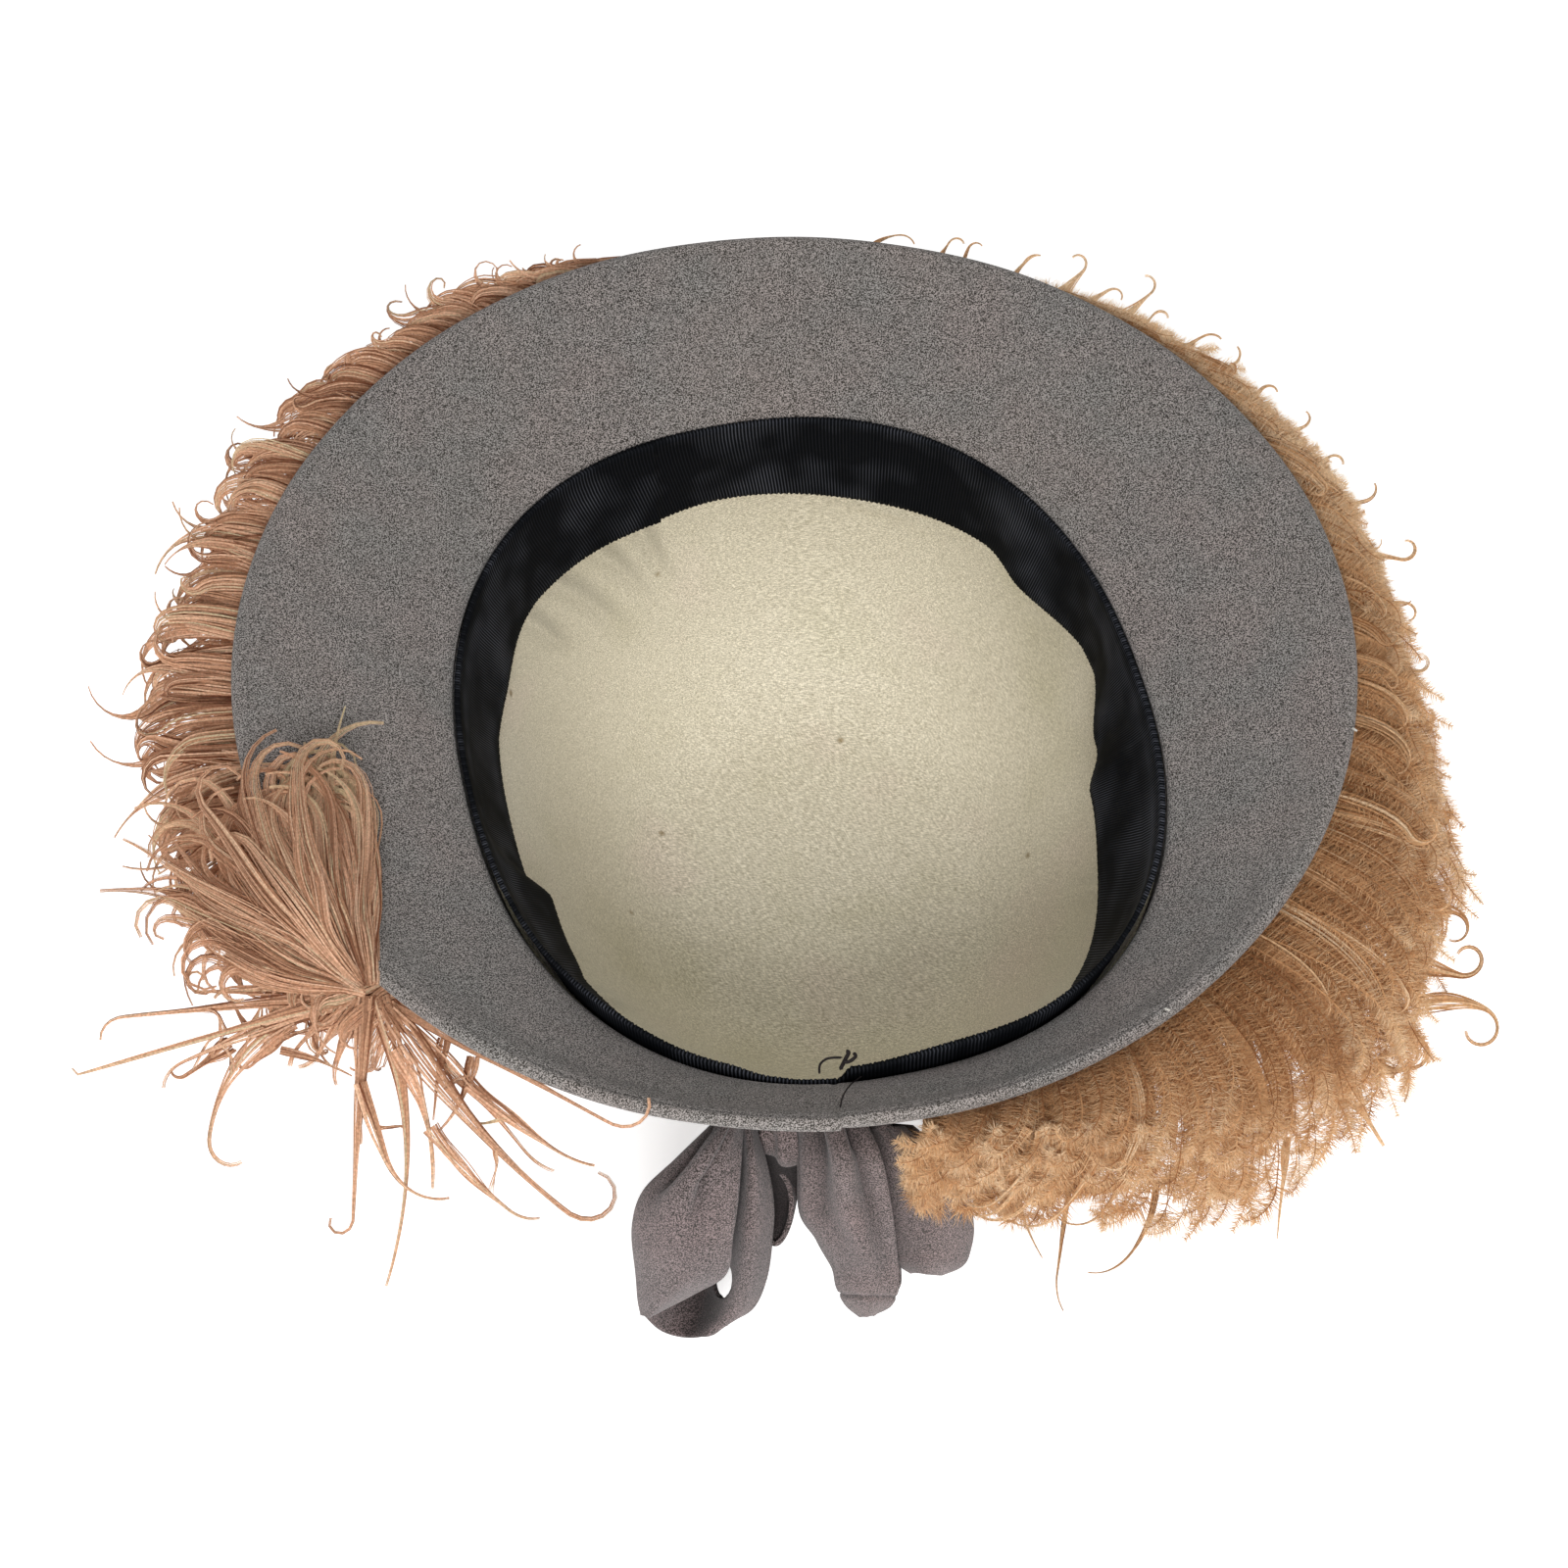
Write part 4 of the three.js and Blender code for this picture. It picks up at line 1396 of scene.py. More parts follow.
def hooked(paths: Array, axes: Array, angle: Array, length: Array, steps: int) -> Array:
    """Carries paths on past their ends in an arc.

    Each new step is the last direction turned round an axis by a growing share of the angle.

    Args:
        paths: Array (N, K, 3).
        axes: Array (N, 3) of unit axes.
        angle: Whole turn of each arc in radians.
        length: Length of each arc.
        steps: Number of new steps.

    Returns:
        Array (N, K + steps, 3).
    """
    ahead = unit(paths[:, -1] - paths[:, -2])[:, None]
    share = (np.arange(steps) + 1.0) / steps
    turned = angle[:, None] * share**1.15
    heading = rotated(np.repeat(ahead, steps, 1), np.repeat(axes[:, None], steps, 1), turned)
    more = np.cumsum(heading * (length / steps)[:, None, None], axis=1)
    return np.concatenate([paths, paths[:, -1:] + more], axis=1)


def bundle(
    rng: np.random.Generator, lead: Array, half: Array, each: int, tone: Array, width: float
) -> Hairs:
    """Hairs that lie side by side along leading paths.

    A hair keeps its share of the bundle's half width, so the bundle narrows where half does.
    The outermost hairs are darker, which draws the bundle's outline.

    Args:
        rng: Source of random numbers.
        lead: Array (N, K, 3) of leading paths.
        half: Array (N, K) of half widths.
        each: Hairs in a bundle.
        tone: Array (N, K) of tones.
        width: Full width of one hair.

    Returns:
        The hairs.
    """
    count, steps, _ = lead.shape
    across = unit(np.cross(np.gradient(lead, axis=1), np.array(TO_EYE)))
    place = np.linspace(-1, 1, each)[None] + rng.normal(0, 0.07, (count, each))
    off = place[..., None] * half[:, None]
    s = np.linspace(0, 1, steps)
    cycles = rng.uniform(0.8, 2.0, (count, each, 1))
    phase = rng.uniform(size=(count, each, 1))
    wave = 0.22 * (1 - 0.8 * s) * np.sin(2 * math.pi * (cycles * s + phase))
    lift = rng.normal(0, 0.5, (count, each, 1)) - 0.5 * place[..., None] ** 2
    lift = lift * np.minimum(half[:, None], 1.2)
    paths = lead[:, None] + (off + wave)[..., None] * across[:, None]
    paths = paths + lift[..., None] * np.array(TO_EYE)
    total = count * each
    own = rng.normal(0, 0.19, (count, each, 1)) - 0.3 * smoothstep(np.abs(place), 0.8, 1.02)[..., None]
    tones = np.clip(tone[:, None] + own, 0, 1).reshape(total, steps)
    widths = width * (1 - 0.86 * s**1.8)[None] * rng.uniform(0.75, 1.25, (total, 1))
    return Hairs(paths.reshape(total, steps, 3), widths, tones, rng.normal(0, 0.5, total))


def feather_piece(
    name: str, parts: list[tuple[Array, Array, Array]], finish: bpy.types.Material, *nodes: str
) -> bpy.types.Object:
    """Joins arrays of hairs and barbules into one piece.

    Args:
        name: Name of the piece.
        parts: Vertices, faces and tones.
        finish: Material.
        nodes: CAD nodes that the piece replaces.

    Returns:
        The piece.
    """
    start = np.cumsum([0] + [len(part[0]) for part in parts])
    faces = [row for part, first in zip(parts, start) for row in (part[1] + first).tolist()]
    points = np.concatenate([part[0] for part in parts])
    points[:, 1:] = np.maximum(points[:, 1:], (FEATHER_BACK, 0.3))
    tone = np.clip(np.concatenate([part[2] for part in parts]), 0, 1)
    piece = make_mesh(name, points, faces, tone=tone)
    dress(piece, finish, Slot.OSTRICH, *nodes)
    return piece


@dataclass(frozen=True)
class Fringe:
    """How a plume's edge stands at a turn.

    over is its reach past the rim, drop its lowest edge under the rim, sweep how far its hairs
    lean from straight out in degrees, and bend how much more they turn by their tips.
    """

    turn: float
    over: float
    drop: float
    sweep: float
    bend: float


@dataclass
class Plume:
    """A plume along the brim's outer side: its shaft and the hairs that leave it.

    gathering is how far tips draw to the middle of their clump, gap how far under the brim the
    roots lie, and curl the side and strength of the bunches' hooks.
    """

    plan: HatPlan
    name: str
    fringe: tuple[Fringe, ...]
    seed: int
    shaft_ring: float = 116.0
    steps: int = 10
    hook_steps: int = 8
    shaft_steps: int = 60
    clump_count: int = 30
    gathering: float = 0.55
    gap: float = 1.2
    curl: float = 1.0

    def turns(
        self, rng: np.random.Generator, count: int, low: float = 0.0, high: float = 1.0
    ) -> Array:
        """Evenly spread turns in degrees over a share of the fringe, each moved a little."""
        first, last = self.fringe[0].turn, self.fringe[-1].turn
        share = np.linspace(low, high, count) + rng.normal(0, 0.5 / count, count)
        return first + (last - first) * np.clip(share, 0.005, 0.995)

    def clumps(self, turn: Array) -> tuple[Array, Array]:
        """Middle turn of the clump that each turn belongs to, and the clump's own reach."""
        rng = np.random.default_rng(self.seed + 7)
        first, last = self.fringe[0].turn, self.fringe[-1].turn
        edges = first + (last - first) * np.sort(rng.uniform(0, 1, self.clump_count))
        middle = (edges[1:] + edges[:-1]) / 2
        nearest = np.abs(turn[:, None] - middle[None]).argmin(1)
        return middle[nearest], rng.uniform(0.86, 1.14, len(middle))[nearest]

    def paths(self, rng: np.random.Generator, turn: Array, layer: Array, reach: Array) -> Array:
        """Paths of hairs from under the brim out to the plume's edge.

        In the section each path is a quadratic curve: from a root under the brim, past the rim,
        to a tip that layer places between the upper edge (0) and the lowest edge (1). The turn
        changes along it by the sweep and the bend, and draws near the middle of its clump.

        Args:
            rng: Source of random numbers.
            turn: Turn of each root in degrees.
            layer: Place of each tip, from 0 to 1.
            reach: Share of the fringe's reach that each hair has.

        Returns:
            Array (N, steps, 3).
        """
        plan = self.plan
        over, drop, sweep, bend = (
            column(self.fringe, "turn", name, turn) for name in ("over", "drop", "sweep", "bend")
        )
        middle, long = self.clumps(turn)
        reach = reach * long
        sweep = np.radians(sweep + rng.normal(0, 5.5, turn.shape))
        bend = np.radians(bend)
        root = self.shaft_ring + rng.uniform(-6, 3, turn.shape)
        root_r, root_z = plan.brim_face(root, -(plan.brim_thick / 2 + self.gap) - 5.0 * layer)
        rim_z = plan.head_line + plan.rim_rise
        out = np.interp(layer, (0, 0.25, 0.6, 0.9, 1), (0.8, 1.0, 0.85, 0.4, 0.05))
        tip_r = plan.rim_ring + over * out * reach
        tip_z = rim_z - 3.0 - (0.04 + 0.94 * layer) * drop * reach
        knee_r = plan.rim_ring + 1.0 + 0.55 * np.maximum(tip_r - plan.rim_ring, 0)
        knee_z = rim_z - 3.6 - 2.4 * layer - 0.1 * (rim_z - tip_z)
        s = np.linspace(0, 1, self.steps)[None]
        a, b, c = (1 - s) ** 2, 2 * s * (1 - s), s * s
        r = a * root_r[:, None] + b * knee_r[:, None] + c * tip_r[:, None]
        z = a * root_z[:, None] + b * knee_z[:, None] + c * tip_z[:, None]
        long = np.hypot(tip_r - root_r, 0.6 * (tip_z - root_z))[:, None]
        along = long * (np.tan(sweep)[:, None] * s + np.tan(bend / 2)[:, None] * s**2.2)
        gather = np.radians(np.clip(middle - turn, -6, 6) * self.gathering)[:, None] * s**2
        return plan.point(r, np.radians(turn)[:, None] + gather + along / (plan.rim_ring + 8.0), z)

    def hooks(self, rng: np.random.Generator, paths: Array, angle: Array, length: Array) -> Array:
        """Adds a hook to each path, round an axis that nearly points at the eye."""
        axes = unit(np.array(TO_EYE) + rng.normal(0, 0.3, (len(paths), 3)))
        return hooked(paths, axes, angle, length, self.hook_steps)

    def shaft(self) -> tuple[Array, Array, Array]:
        """The shaft: a row of stiff hairs side by side along the brim's outer side."""
        first, last = self.fringe[0].turn, self.fringe[-1].turn
        steps = self.shaft_steps
        turn = np.linspace(first, last, steps)
        ring = np.full(steps, self.shaft_ring - 4.0)
        ring, z = self.plan.brim_face(ring, -(self.plan.brim_thick / 2 + 2.2))
        path = self.plan.point(ring, np.radians(turn), z)[None]
        rng = np.random.default_rng(self.seed + 1)
        half, tone = np.full((1, steps), 1.2), np.full((1, steps), 0.3)
        return bundle(rng, path, half, 6, tone, 0.7).ribbons()

    def bunched(
        self,
        rng: np.random.Generator,
        turn: Array,
        layer: Array,
        each: int,
        hook: float,
        reach: float = 0.9,
        wide: float = 1.0,
    ) -> list:
        """Flat bunches of fine parallel hairs whose ends draw together into hooks.

        Args:
            rng: Source of random numbers.
            turn: Turn of each root in degrees.
            layer: Place of each tip, from 0 to 1.
            each: Hairs in a bunch.
            hook: Length of the hooks for a reach of 20 past the rim.
            reach: Share of the fringe's reach that the longest bunches have.
            wide: Share of the usual width.

        Returns:
            Arrays of the hairs.
        """
        count = len(turn)
        lead = self.paths(rng, turn, layer, reach * rng.uniform(0.56, 1.0, count))
        angle = self.curl * rng.choice([1.0, 1.0, -1.0], count) * rng.uniform(1.0, 5.0, count)
        length = rng.uniform(0.5, 1.25, count) * hook * column(self.fringe, "turn", "over", turn) / 20.0
        lead = self.hooks(rng, lead, angle, length + 1.5)
        s = np.linspace(0, 1, lead.shape[1])[None]
        half = wide * rng.uniform(1.3, 2.7, (count, 1)) * (1 - 0.93 * smoothstep(s, 0.38, 0.82))
        tone = rng.normal(0.5, 0.11, (count, 1)) + 0.16 * s - 0.06 * layer[:, None]
        hairs = bundle(rng, lead, half, each, tone, 0.42)
        return [hairs.ribbons()]


@dataclass
class RightPlume(Plume):
    """The fluffier plume, whose hairs are swept back and hang low at the back."""

    soft: Fluff = Fluff(spacing=0.42, length=4.8, width=0.19, angle=60.0)
    down: Fluff = Fluff(spacing=0.46, length=6.0, width=0.3, angle=66.0, lift=30.0, paler=0.04)
    low_count: int = 330
    middle_count: int = 350
    upper_count: int = 320
    backing_count: int = 260
    string_count: int = 44
    stray_count: int = 18
    core_lift: float = 1.1
    gathering: float = 0.3
    curl: float = -1.0

    def backing(self, rng: np.random.Generator, count: int) -> tuple[Array, Array, Array]:
        """Broad soft strips behind the hairs, which close the gaps between them."""
        layer = rng.uniform(0.1, 0.95, count)
        paths = self.paths(rng, self.turns(rng, count), layer, rng.uniform(0.5, 0.84, count))
        s = np.linspace(0, 1, self.steps)[None]
        width = 5.5 * (1 - 0.75 * s**2) * rng.uniform(0.7, 1.2, (count, 1))
        tone = np.clip(rng.normal(0.44, 0.08, (count, 1)) + 0 * s, 0, 1)
        paths = paths - 2.0 * np.array(TO_EYE)
        return Hairs(paths, width, tone, rng.normal(0, 0.3, count)).ribbons()

    def fluffy(self, rng: np.random.Generator, turn: Array, layer: Array, fluff: Fluff) -> list:
        """Soft hairs with barbules that end in wide hooks.

        Args:
            rng: Source of random numbers.
            turn: Turn of each root in degrees.
            layer: Place of each tip, from 0 to 1.
            fluff: Sizes of the barbules.

        Returns:
            Arrays of the hairs and of the barbules.
        """
        count = len(turn)
        paths = self.paths(rng, turn, layer, rng.uniform(0.62, 0.95, count))
        angle = rng.normal(-0.7, 0.9, count) - 1.2 * smoothstep(-turn, 25, 60)
        length = rng.uniform(0.2, 0.6, count) * column(self.fringe, "turn", "over", turn) * 0.4 + 4.0
        paths = self.hooks(rng, paths, angle, length)
        s = np.linspace(0, 1, paths.shape[1])[None]
        aged = 0.36 * smoothstep(turn, 5, 50)[:, None]
        tone = rng.normal(0.19, 0.12, (count, 1)) + 0.5 * s - 0.16 * layer[:, None] + aged
        tone = np.clip(tone, 0, 1)
        width = 0.34 * (1 - 0.6 * s) * rng.uniform(0.7, 1.3, (count, 1))
        soft = Hairs(paths, width, tone, rng.normal(0, 0.35, count)).barbules(rng, fluff)
        raised = paths + np.array(TO_EYE) * (self.core_lift * s[..., None])
        dark = np.where(rng.uniform(size=(count, 1)) < 0.4, 0.2, 0.9)
        cores = Hairs(raised, width, tone * dark, rng.normal(0, 0.2, count))
        return [cores.ribbons(), soft]

    def build(self, finish: bpy.types.Material) -> None:
        """Makes the lowest, the middle and the outermost hairs as three pieces."""
        rng = np.random.default_rng(self.seed)
        turn = self.turns(rng, self.low_count)
        layer = rng.uniform(0.4, 1.0, self.low_count)
        low = self.fluffy(rng, turn, layer, self.down)
        backing = self.backing(rng, self.backing_count)
        feather_piece("plume_right_low", [backing, *low], finish, "plume_right")
        turn = self.turns(rng, self.middle_count)
        layer = rng.uniform(0.15, 0.6, self.middle_count)
        middle = self.fluffy(rng, turn, layer, self.soft)
        feather_piece("plume_right_middle", middle, finish, "plume_right")
        turn = self.turns(rng, self.upper_count)
        layer = rng.uniform(0.0, 0.3, self.upper_count)
        upper = self.fluffy(rng, turn, layer, self.soft)
        turn = self.turns(rng, self.string_count, 0.3, 1.0)
        layer = rng.uniform(0, 0.3, self.string_count)
        strings = self.bunched(rng, turn, layer, 9, 5.5, wide=0.7)
        turn = self.turns(rng, self.stray_count, 0.0, 0.6)
        layer = rng.uniform(0.1, 0.5, self.stray_count)
        stray = self.bunched(rng, turn, layer, 6, 6.0, 1.0, 0.5)
        parts = [self.shaft(), *upper, *strings, *stray]
        feather_piece("plume_right_upper", parts, finish, "plume_right")


@dataclass
class LeftPlume(Plume):
    """The stringier plume, whose hairs stand straight out in flat bunches."""

    upper_count: int = 190
    lower_count: int = 110

    def build(self, finish: bpy.types.Material) -> None:
        """Makes the bunches over the rim and those that hang under it as two pieces."""
        rng = np.random.default_rng(self.seed)
        turn = self.turns(rng, self.upper_count)
        layer = rng.uniform(0, 0.42, self.upper_count)
        upper = self.bunched(rng, turn, layer, 18, 13.0)
        feather_piece("plume_left_upper", [self.shaft(), *upper], finish, "plume_left")
        turn = self.turns(rng, self.lower_count)
        layer = rng.uniform(0.35, 1.0, self.lower_count)
        lower = self.bunched(rng, turn, layer, 14, 10.0)
        feather_piece("plume_left_low", lower, finish, "plume_left")


@dataclass(frozen=True)
class Stroke:
    """A line drawn in the picture from a pixel.

    It leaves at the angle aim (90 is up), turns evenly by bend and then by hook from hook_from
    of its length on. length is in pixels, half in millimetres, and end is its tip's height.
    """

    x: float
    y: float
    aim: float
    length: float
    bend: float
    hook: float
    hook_from: float
    half: float
    end: float


def drawn(
    start: Array, aim: Array, length: Array, bend: Array, hook: Array, since: Array, steps: int
) -> Array:
    """Pixels of strokes: directions turn by bend and hook and are summed.

    Args:
        start: Array (N, 2) of pixels.
        aim: First directions in degrees.
        length: Lengths in pixels.
        bend: Even turn over the whole length in degrees.
        hook: Turn that is added at the end in degrees.
        since: Share of the length where the hook starts.
        steps: Places on each stroke.

    Returns:
        Array (N, steps, 2).
    """
    s = np.linspace(0, 1, steps)[None]
    hooking = np.clip((s - since[:, None]) / (1 - since[:, None]), 0, 1) ** 1.3
    turn = np.radians(aim[:, None] + bend[:, None] * s + hook[:, None] * hooking)
    step = (length / (steps - 1))[:, None, None] * np.stack([np.cos(turn), -np.sin(turn)], -1)
    moved = np.cumsum(step[:, :-1], axis=1)
    return start[:, None] + np.concatenate([np.zeros((len(start), 1, 2)), moved], axis=1)


@dataclass(frozen=True)
class Lock:
    """How the tuft's locks run at an aim: length in pixels, bend, and heights over the brim.

    rise is the height of a lock's middle and end that of its tip, and curl is the tip's hook.
    """

    aim: float
    length: float
    bend: float
    rise: float
    end: float
    curl: float


@dataclass
class Tuft:
    """The left plume's end, turned up over the rim in wavy locks."""

    plan: HatPlan
    sight: Sight
    seed: int = 41
    count: int = 92
    hairs: int = 22
    steps: int = 24
    locks: tuple[Lock, ...] = (
        Lock(90, 262, 2, 7, 8, 175),
        Lock(100, 286, -14, 9, 9, 180),
        Lock(109, 306, -26, 12, 10, 165),
        Lock(117, 322, -32, 13, 10, -165),
        Lock(126, 322, -38, 13, 10, -175),
        Lock(134, 328, -26, 13, 9, -170),
        Lock(144, 318, -14, 12, 7, -190),
        Lock(156, 290, -10, 9, 4, 190),
        Lock(169, 245, -8, 6, 1, 170),
    )

    def leads(self, rng: np.random.Generator) -> tuple[Array, Array]:
        """Leading paths of the locks and their aims.

        Aims are spread over the table, and every lock waves, ends in its own curl and rises to
        its height over the brim and down again.
        """
        count = self.count
        aim = np.linspace(90, 169, count) + rng.normal(0, 1.6, count)
        length, bend, rise, end, curl = (
            column(self.locks, "aim", name, aim)
            for name in ("length", "bend", "rise", "end", "curl")
        )
        length = length * rng.uniform(0.72, 1.0, count)
        flip = np.where((rng.uniform(size=count) < 0.25) & (aim > 110), -0.8, 1.0)
        most = 1.0 + smoothstep(aim, 100, 125)
        hook = curl * flip * np.minimum(rng.uniform(0.55, 1.5, count), most)
        share = (aim - 90) / 79
        column_of_root = np.interp(share, (0, 0.3, 0.7, 1), (382, 371, 366, 372))
        start = np.stack([column_of_root, 1003 + 11 * share**2], -1)
        start = start + rng.normal(0, 1.2, start.shape)
        since = rng.uniform(0.56, 0.74, count)
        pixels = drawn(start, aim, length, bend + rng.normal(0, 8, count), hook, since, self.steps)
        s = np.linspace(0, 1, self.steps)[None]
        phase = rng.uniform(0, 2 * math.pi, (count, 1))
        swing = rng.uniform(2, 6.5, (count, 1))
        cycles = rng.uniform(1.0, 1.8, (count, 1))
        wave = swing * np.sin(2 * math.pi * cycles * s + phase)
        wave = (wave - wave[:, :1]) * smoothstep(s, 0.0, 0.35)
        across, over = np.gradient(pixels[..., 0], axis=1), np.gradient(pixels[..., 1], axis=1)
        normal = np.stack([over, -across], -1)
        pixels = pixels + unit(normal) * wave[..., None]
        depth = rng.uniform(0.35, 1.05, (count, 1))
        height = 2.5 + (rise[:, None] * depth - 2.5) * np.sin(math.pi * np.minimum(s, 0.5))
        fall = (end[:, None] - rise[:, None]) * depth * smoothstep(s, 0.5, 1)
        height = np.where(s > 0.5, height + fall, height)
        return self.plan.over_brim(pixels, height, self.sight), aim

    def build(self, finish: bpy.types.Material) -> None:
        """Makes all locks as one piece, paler towards the tips of the upper ones."""
        rng = np.random.default_rng(self.seed)
        lead, aim = self.leads(rng)
        s = np.linspace(0, 1, self.steps)[None]
        half = rng.uniform(1.3, 2.5, (len(lead), 1)) * (0.3 + 0.7 * smoothstep(s, 0.0, 0.4))
        half = half * (1 - 0.86 * smoothstep(s, 0.5, 0.97))
        upper = (1 - smoothstep(aim, 112, 140))[:, None]
        tone = rng.normal(0.48, 0.12, (len(lead), 1)) - 0.12 * (1 - smoothstep(s, 0.05, 0.3))
        tone = tone + s**1.5 * (0.08 + 0.42 * upper)
        tone = tone + 0.1 * (1 - smoothstep(aim, 92, 100))[:, None]
        hairs = bundle(rng, lead, half, self.hairs, tone, 0.34)
        feather_piece("plume_left_tuft", [hairs.ribbons()], finish, "plume_left_tip")


@dataclass
class Strings:
    """Loose flat strings that are drawn in the picture, out from a plume's edge.

    A string starts at root_height, less fall for each pixel between its start and the root.
    webs is the number of short bridges between strings.
    """

    sight: Sight
    name: str
    node: str
    seed: int
    strokes: tuple[Stroke, ...]
    root: Pixel
    root_height: float
    fall: float = 0.09
    tone: float = 0.42
    webs: int = 0
    web_steps: int = 12
    steps: int = 34
    hairs: int = 13

    def build(self, finish: bpy.types.Material) -> None:
        """Makes all strings as one piece: pixels of the strokes, put at falling heights."""
        rng = np.random.default_rng(self.seed)
        rows = [astuple(stroke) for stroke in self.strokes]
        x, y, aim, length, bend, hook, since, half, end = np.array(rows, float).T
        pixels = drawn(np.stack([x, y], -1), aim, length, bend, hook, since, self.steps)
        s = np.linspace(0, 1, self.steps)[None]
        away = np.hypot(x - self.root[0], y - self.root[1])[:, None]
        start = self.root_height - np.minimum(away * self.fall, 40)
        height = start + (end[:, None] - start) * s
        lead = self.sight.at_height(pixels, height)
        thin = 0.22 + 1.3 * (1 - smoothstep(s, 0.02, 0.7))
        wide = half[:, None] * thin * (1 + 0.25 * np.sin(9 * s + aim[:, None]))
        tone = rng.normal(self.tone, 0.07, (len(x), 1)) + 0.26 * s
        parts = [bundle(rng, lead, wide, self.hairs, tone, 0.5).ribbons()]
        if self.webs:
            parts.append(self.bridges(rng, lead, aim).ribbons())
        feather_piece(self.name, parts, finish, self.node)

    def bridges(self, rng: np.random.Generator, lead: Array, aim: Array) -> Hairs:
        """Short curved strings that join neighbouring ones like a web.

        Each runs from a place on one string to a place further out on a string of nearly the
        same aim, and bellies out towards the root.

        Args:
            rng: Source of random numbers.
            lead: Paths of the strings.
            aim: Their aims in degrees.

        Returns:
            The bridges' hairs.
        """
        tries = self.webs * 40
        first, second = rng.integers(0, len(lead), (2, tries))
        start = lead[first, (rng.uniform(0.15, 0.5, tries) * self.steps).astype(int)]
        end = lead[second, (rng.uniform(0.3, 0.7, tries) * self.steps).astype(int)]
        gap = np.linalg.norm(end - start, axis=1)
        close = np.abs(aim[first] - aim[second]) < 22
        near = np.flatnonzero(close & (gap > 4) & (gap < 12) & (first != second))[: self.webs]
        start, end = start[near], end[near]
        belly = (start + end) / 2 + rng.normal(0, 0.8, start.shape) + np.array([0.4, 1.0, 0.0])
        path = through(np.stack([start, belly, end], axis=1), self.web_steps)
        s = np.linspace(0, 1, self.web_steps)[None]
        half = rng.uniform(0.3, 0.9, (len(near), 1)) * (1.25 - np.sin(math.pi * s))
        tone = rng.normal(0.55, 0.1, (len(near), 1)) + 0 * s
        return bundle(rng, path, half, 6, tone, 0.4)


@dataclass(frozen=True)
class Thread:
    """A thread over the brim: pixels that it passes, its height over it, and its width."""

    points: tuple[Pixel, ...]
    height: float
    width: float


@dataclass
class Threads:
    """Sewing threads and lint on the brim and the sweatband, as thin tubes."""

    plan: HatPlan
    sight: Sight
    name: str
    threads: tuple[Thread, ...]
    steps: int = 20
    sides: int = 6

    def build(self, finish: bpy.types.Material, slot: Slot) -> None:
        """Makes the threads as one piece: rings round curves through their points."""
        parts, faces = [], []
        turn = np.linspace(0, 2 * math.pi, self.sides, endpoint=False)
        for number, thread in enumerate(self.threads):
            pixels = np.array([(x, y, 0.0) for x, y in thread.points])
            pixels = through(pixels, self.steps)[:, :2]
            path = self.plan.over_brim(pixels, thread.height, self.sight)
            ahead = unit(np.gradient(path, axis=0))
            side = unit(np.cross(ahead, np.array(TO_EYE)))
            over = np.cross(side, ahead)
            ends = np.minimum(1, 8 * np.sin(math.pi * np.linspace(0.004, 0.996, self.steps)))
            cos, sin = np.cos(turn)[None, :, None], np.sin(turn)[None, :, None]
            ring = side[:, None] * cos + over[:, None] * sin
            ring = ring * ends[:, None, None] * thread.width / 2
            parts.append((path[:, None] + ring).reshape(-1, 3))
            first = number * self.steps * self.sides
            faces.append(grid_faces(self.steps, self.sides, close_cols=True) + first)
        piece = make_mesh(self.name, np.concatenate(parts), np.concatenate(faces))
        dress(piece, finish, slot)


@dataclass
class Studio:
    """Pale floor, a soft lamp on the camera's side, a fill from above and an even sky."""

    key_power: float = 21.0
    key_size: float = 0.45
    key_height: float = 40.0
    key_reach: float = 1.7
    top_power: float = 6.0
    top_size: float = 1.2
    top_place: tuple[float, float, float] = (0.2, 0.3, 1.9)
    middle: tuple[float, float, float] = (0.0, 0.01, 0.07)
    floor_half: float = 3000.0
    sky: float = 0.44

    def floor(self) -> bpy.types.Object:
        """Makes the floor: a wide flat sheet at height 0."""
        u = np.linspace(-1, 1, 9)
        x, y = np.meshgrid(u * self.floor_half, u * self.floor_half)
        points = np.stack([x, y, np.zeros_like(x)], -1).reshape(-1, 3)
        piece = make_mesh("floor", points, grid_faces(9, 9))
        piece.data.materials.append(FloorFinish("paper_floor").material())
        return piece

    def lamp(self, name: str, power: float, size: float, place: tuple) -> None:
        """Makes a square lamp that points at the hat's middle."""
        data = bpy.data.lights.new(name, "AREA")
        data.energy, data.size = power, size
        lamp = bpy.data.objects.new(name, data)
        away = np.array(place) - np.array(self.middle)
        lamp.location = place
        reach = float(np.linalg.norm(away))
        heading = math.atan2(away[1], away[0]) + math.pi / 2
        lamp.rotation_euler = (math.acos(away[2] / reach), 0.0, heading)
        bpy.context.scene.collection.objects.link(lamp)

    def build(self) -> None:
        """Makes the floor, the lamps and the sky."""
        self.floor()
        up = math.radians(self.key_height)
        place = (0.0, -self.key_reach * math.cos(up), self.key_reach * math.sin(up))
        self.lamp("key", self.key_power, self.key_size, place)
        self.lamp("top", self.top_power, self.top_size, self.top_place)
        world = bpy.data.worlds.new("sky")
        world.use_nodes = True
        sky = world.node_tree.nodes["Background"]
        sky.inputs["Color"].default_value = (1.0, 1.0, 1.0, 1.0)
        sky.inputs["Strength"].default_value = self.sky
        scene = bpy.context.scene
        scene.world = world
        scene.view_settings.view_transform = "Standard"
        scene.view_settings.look = "None"


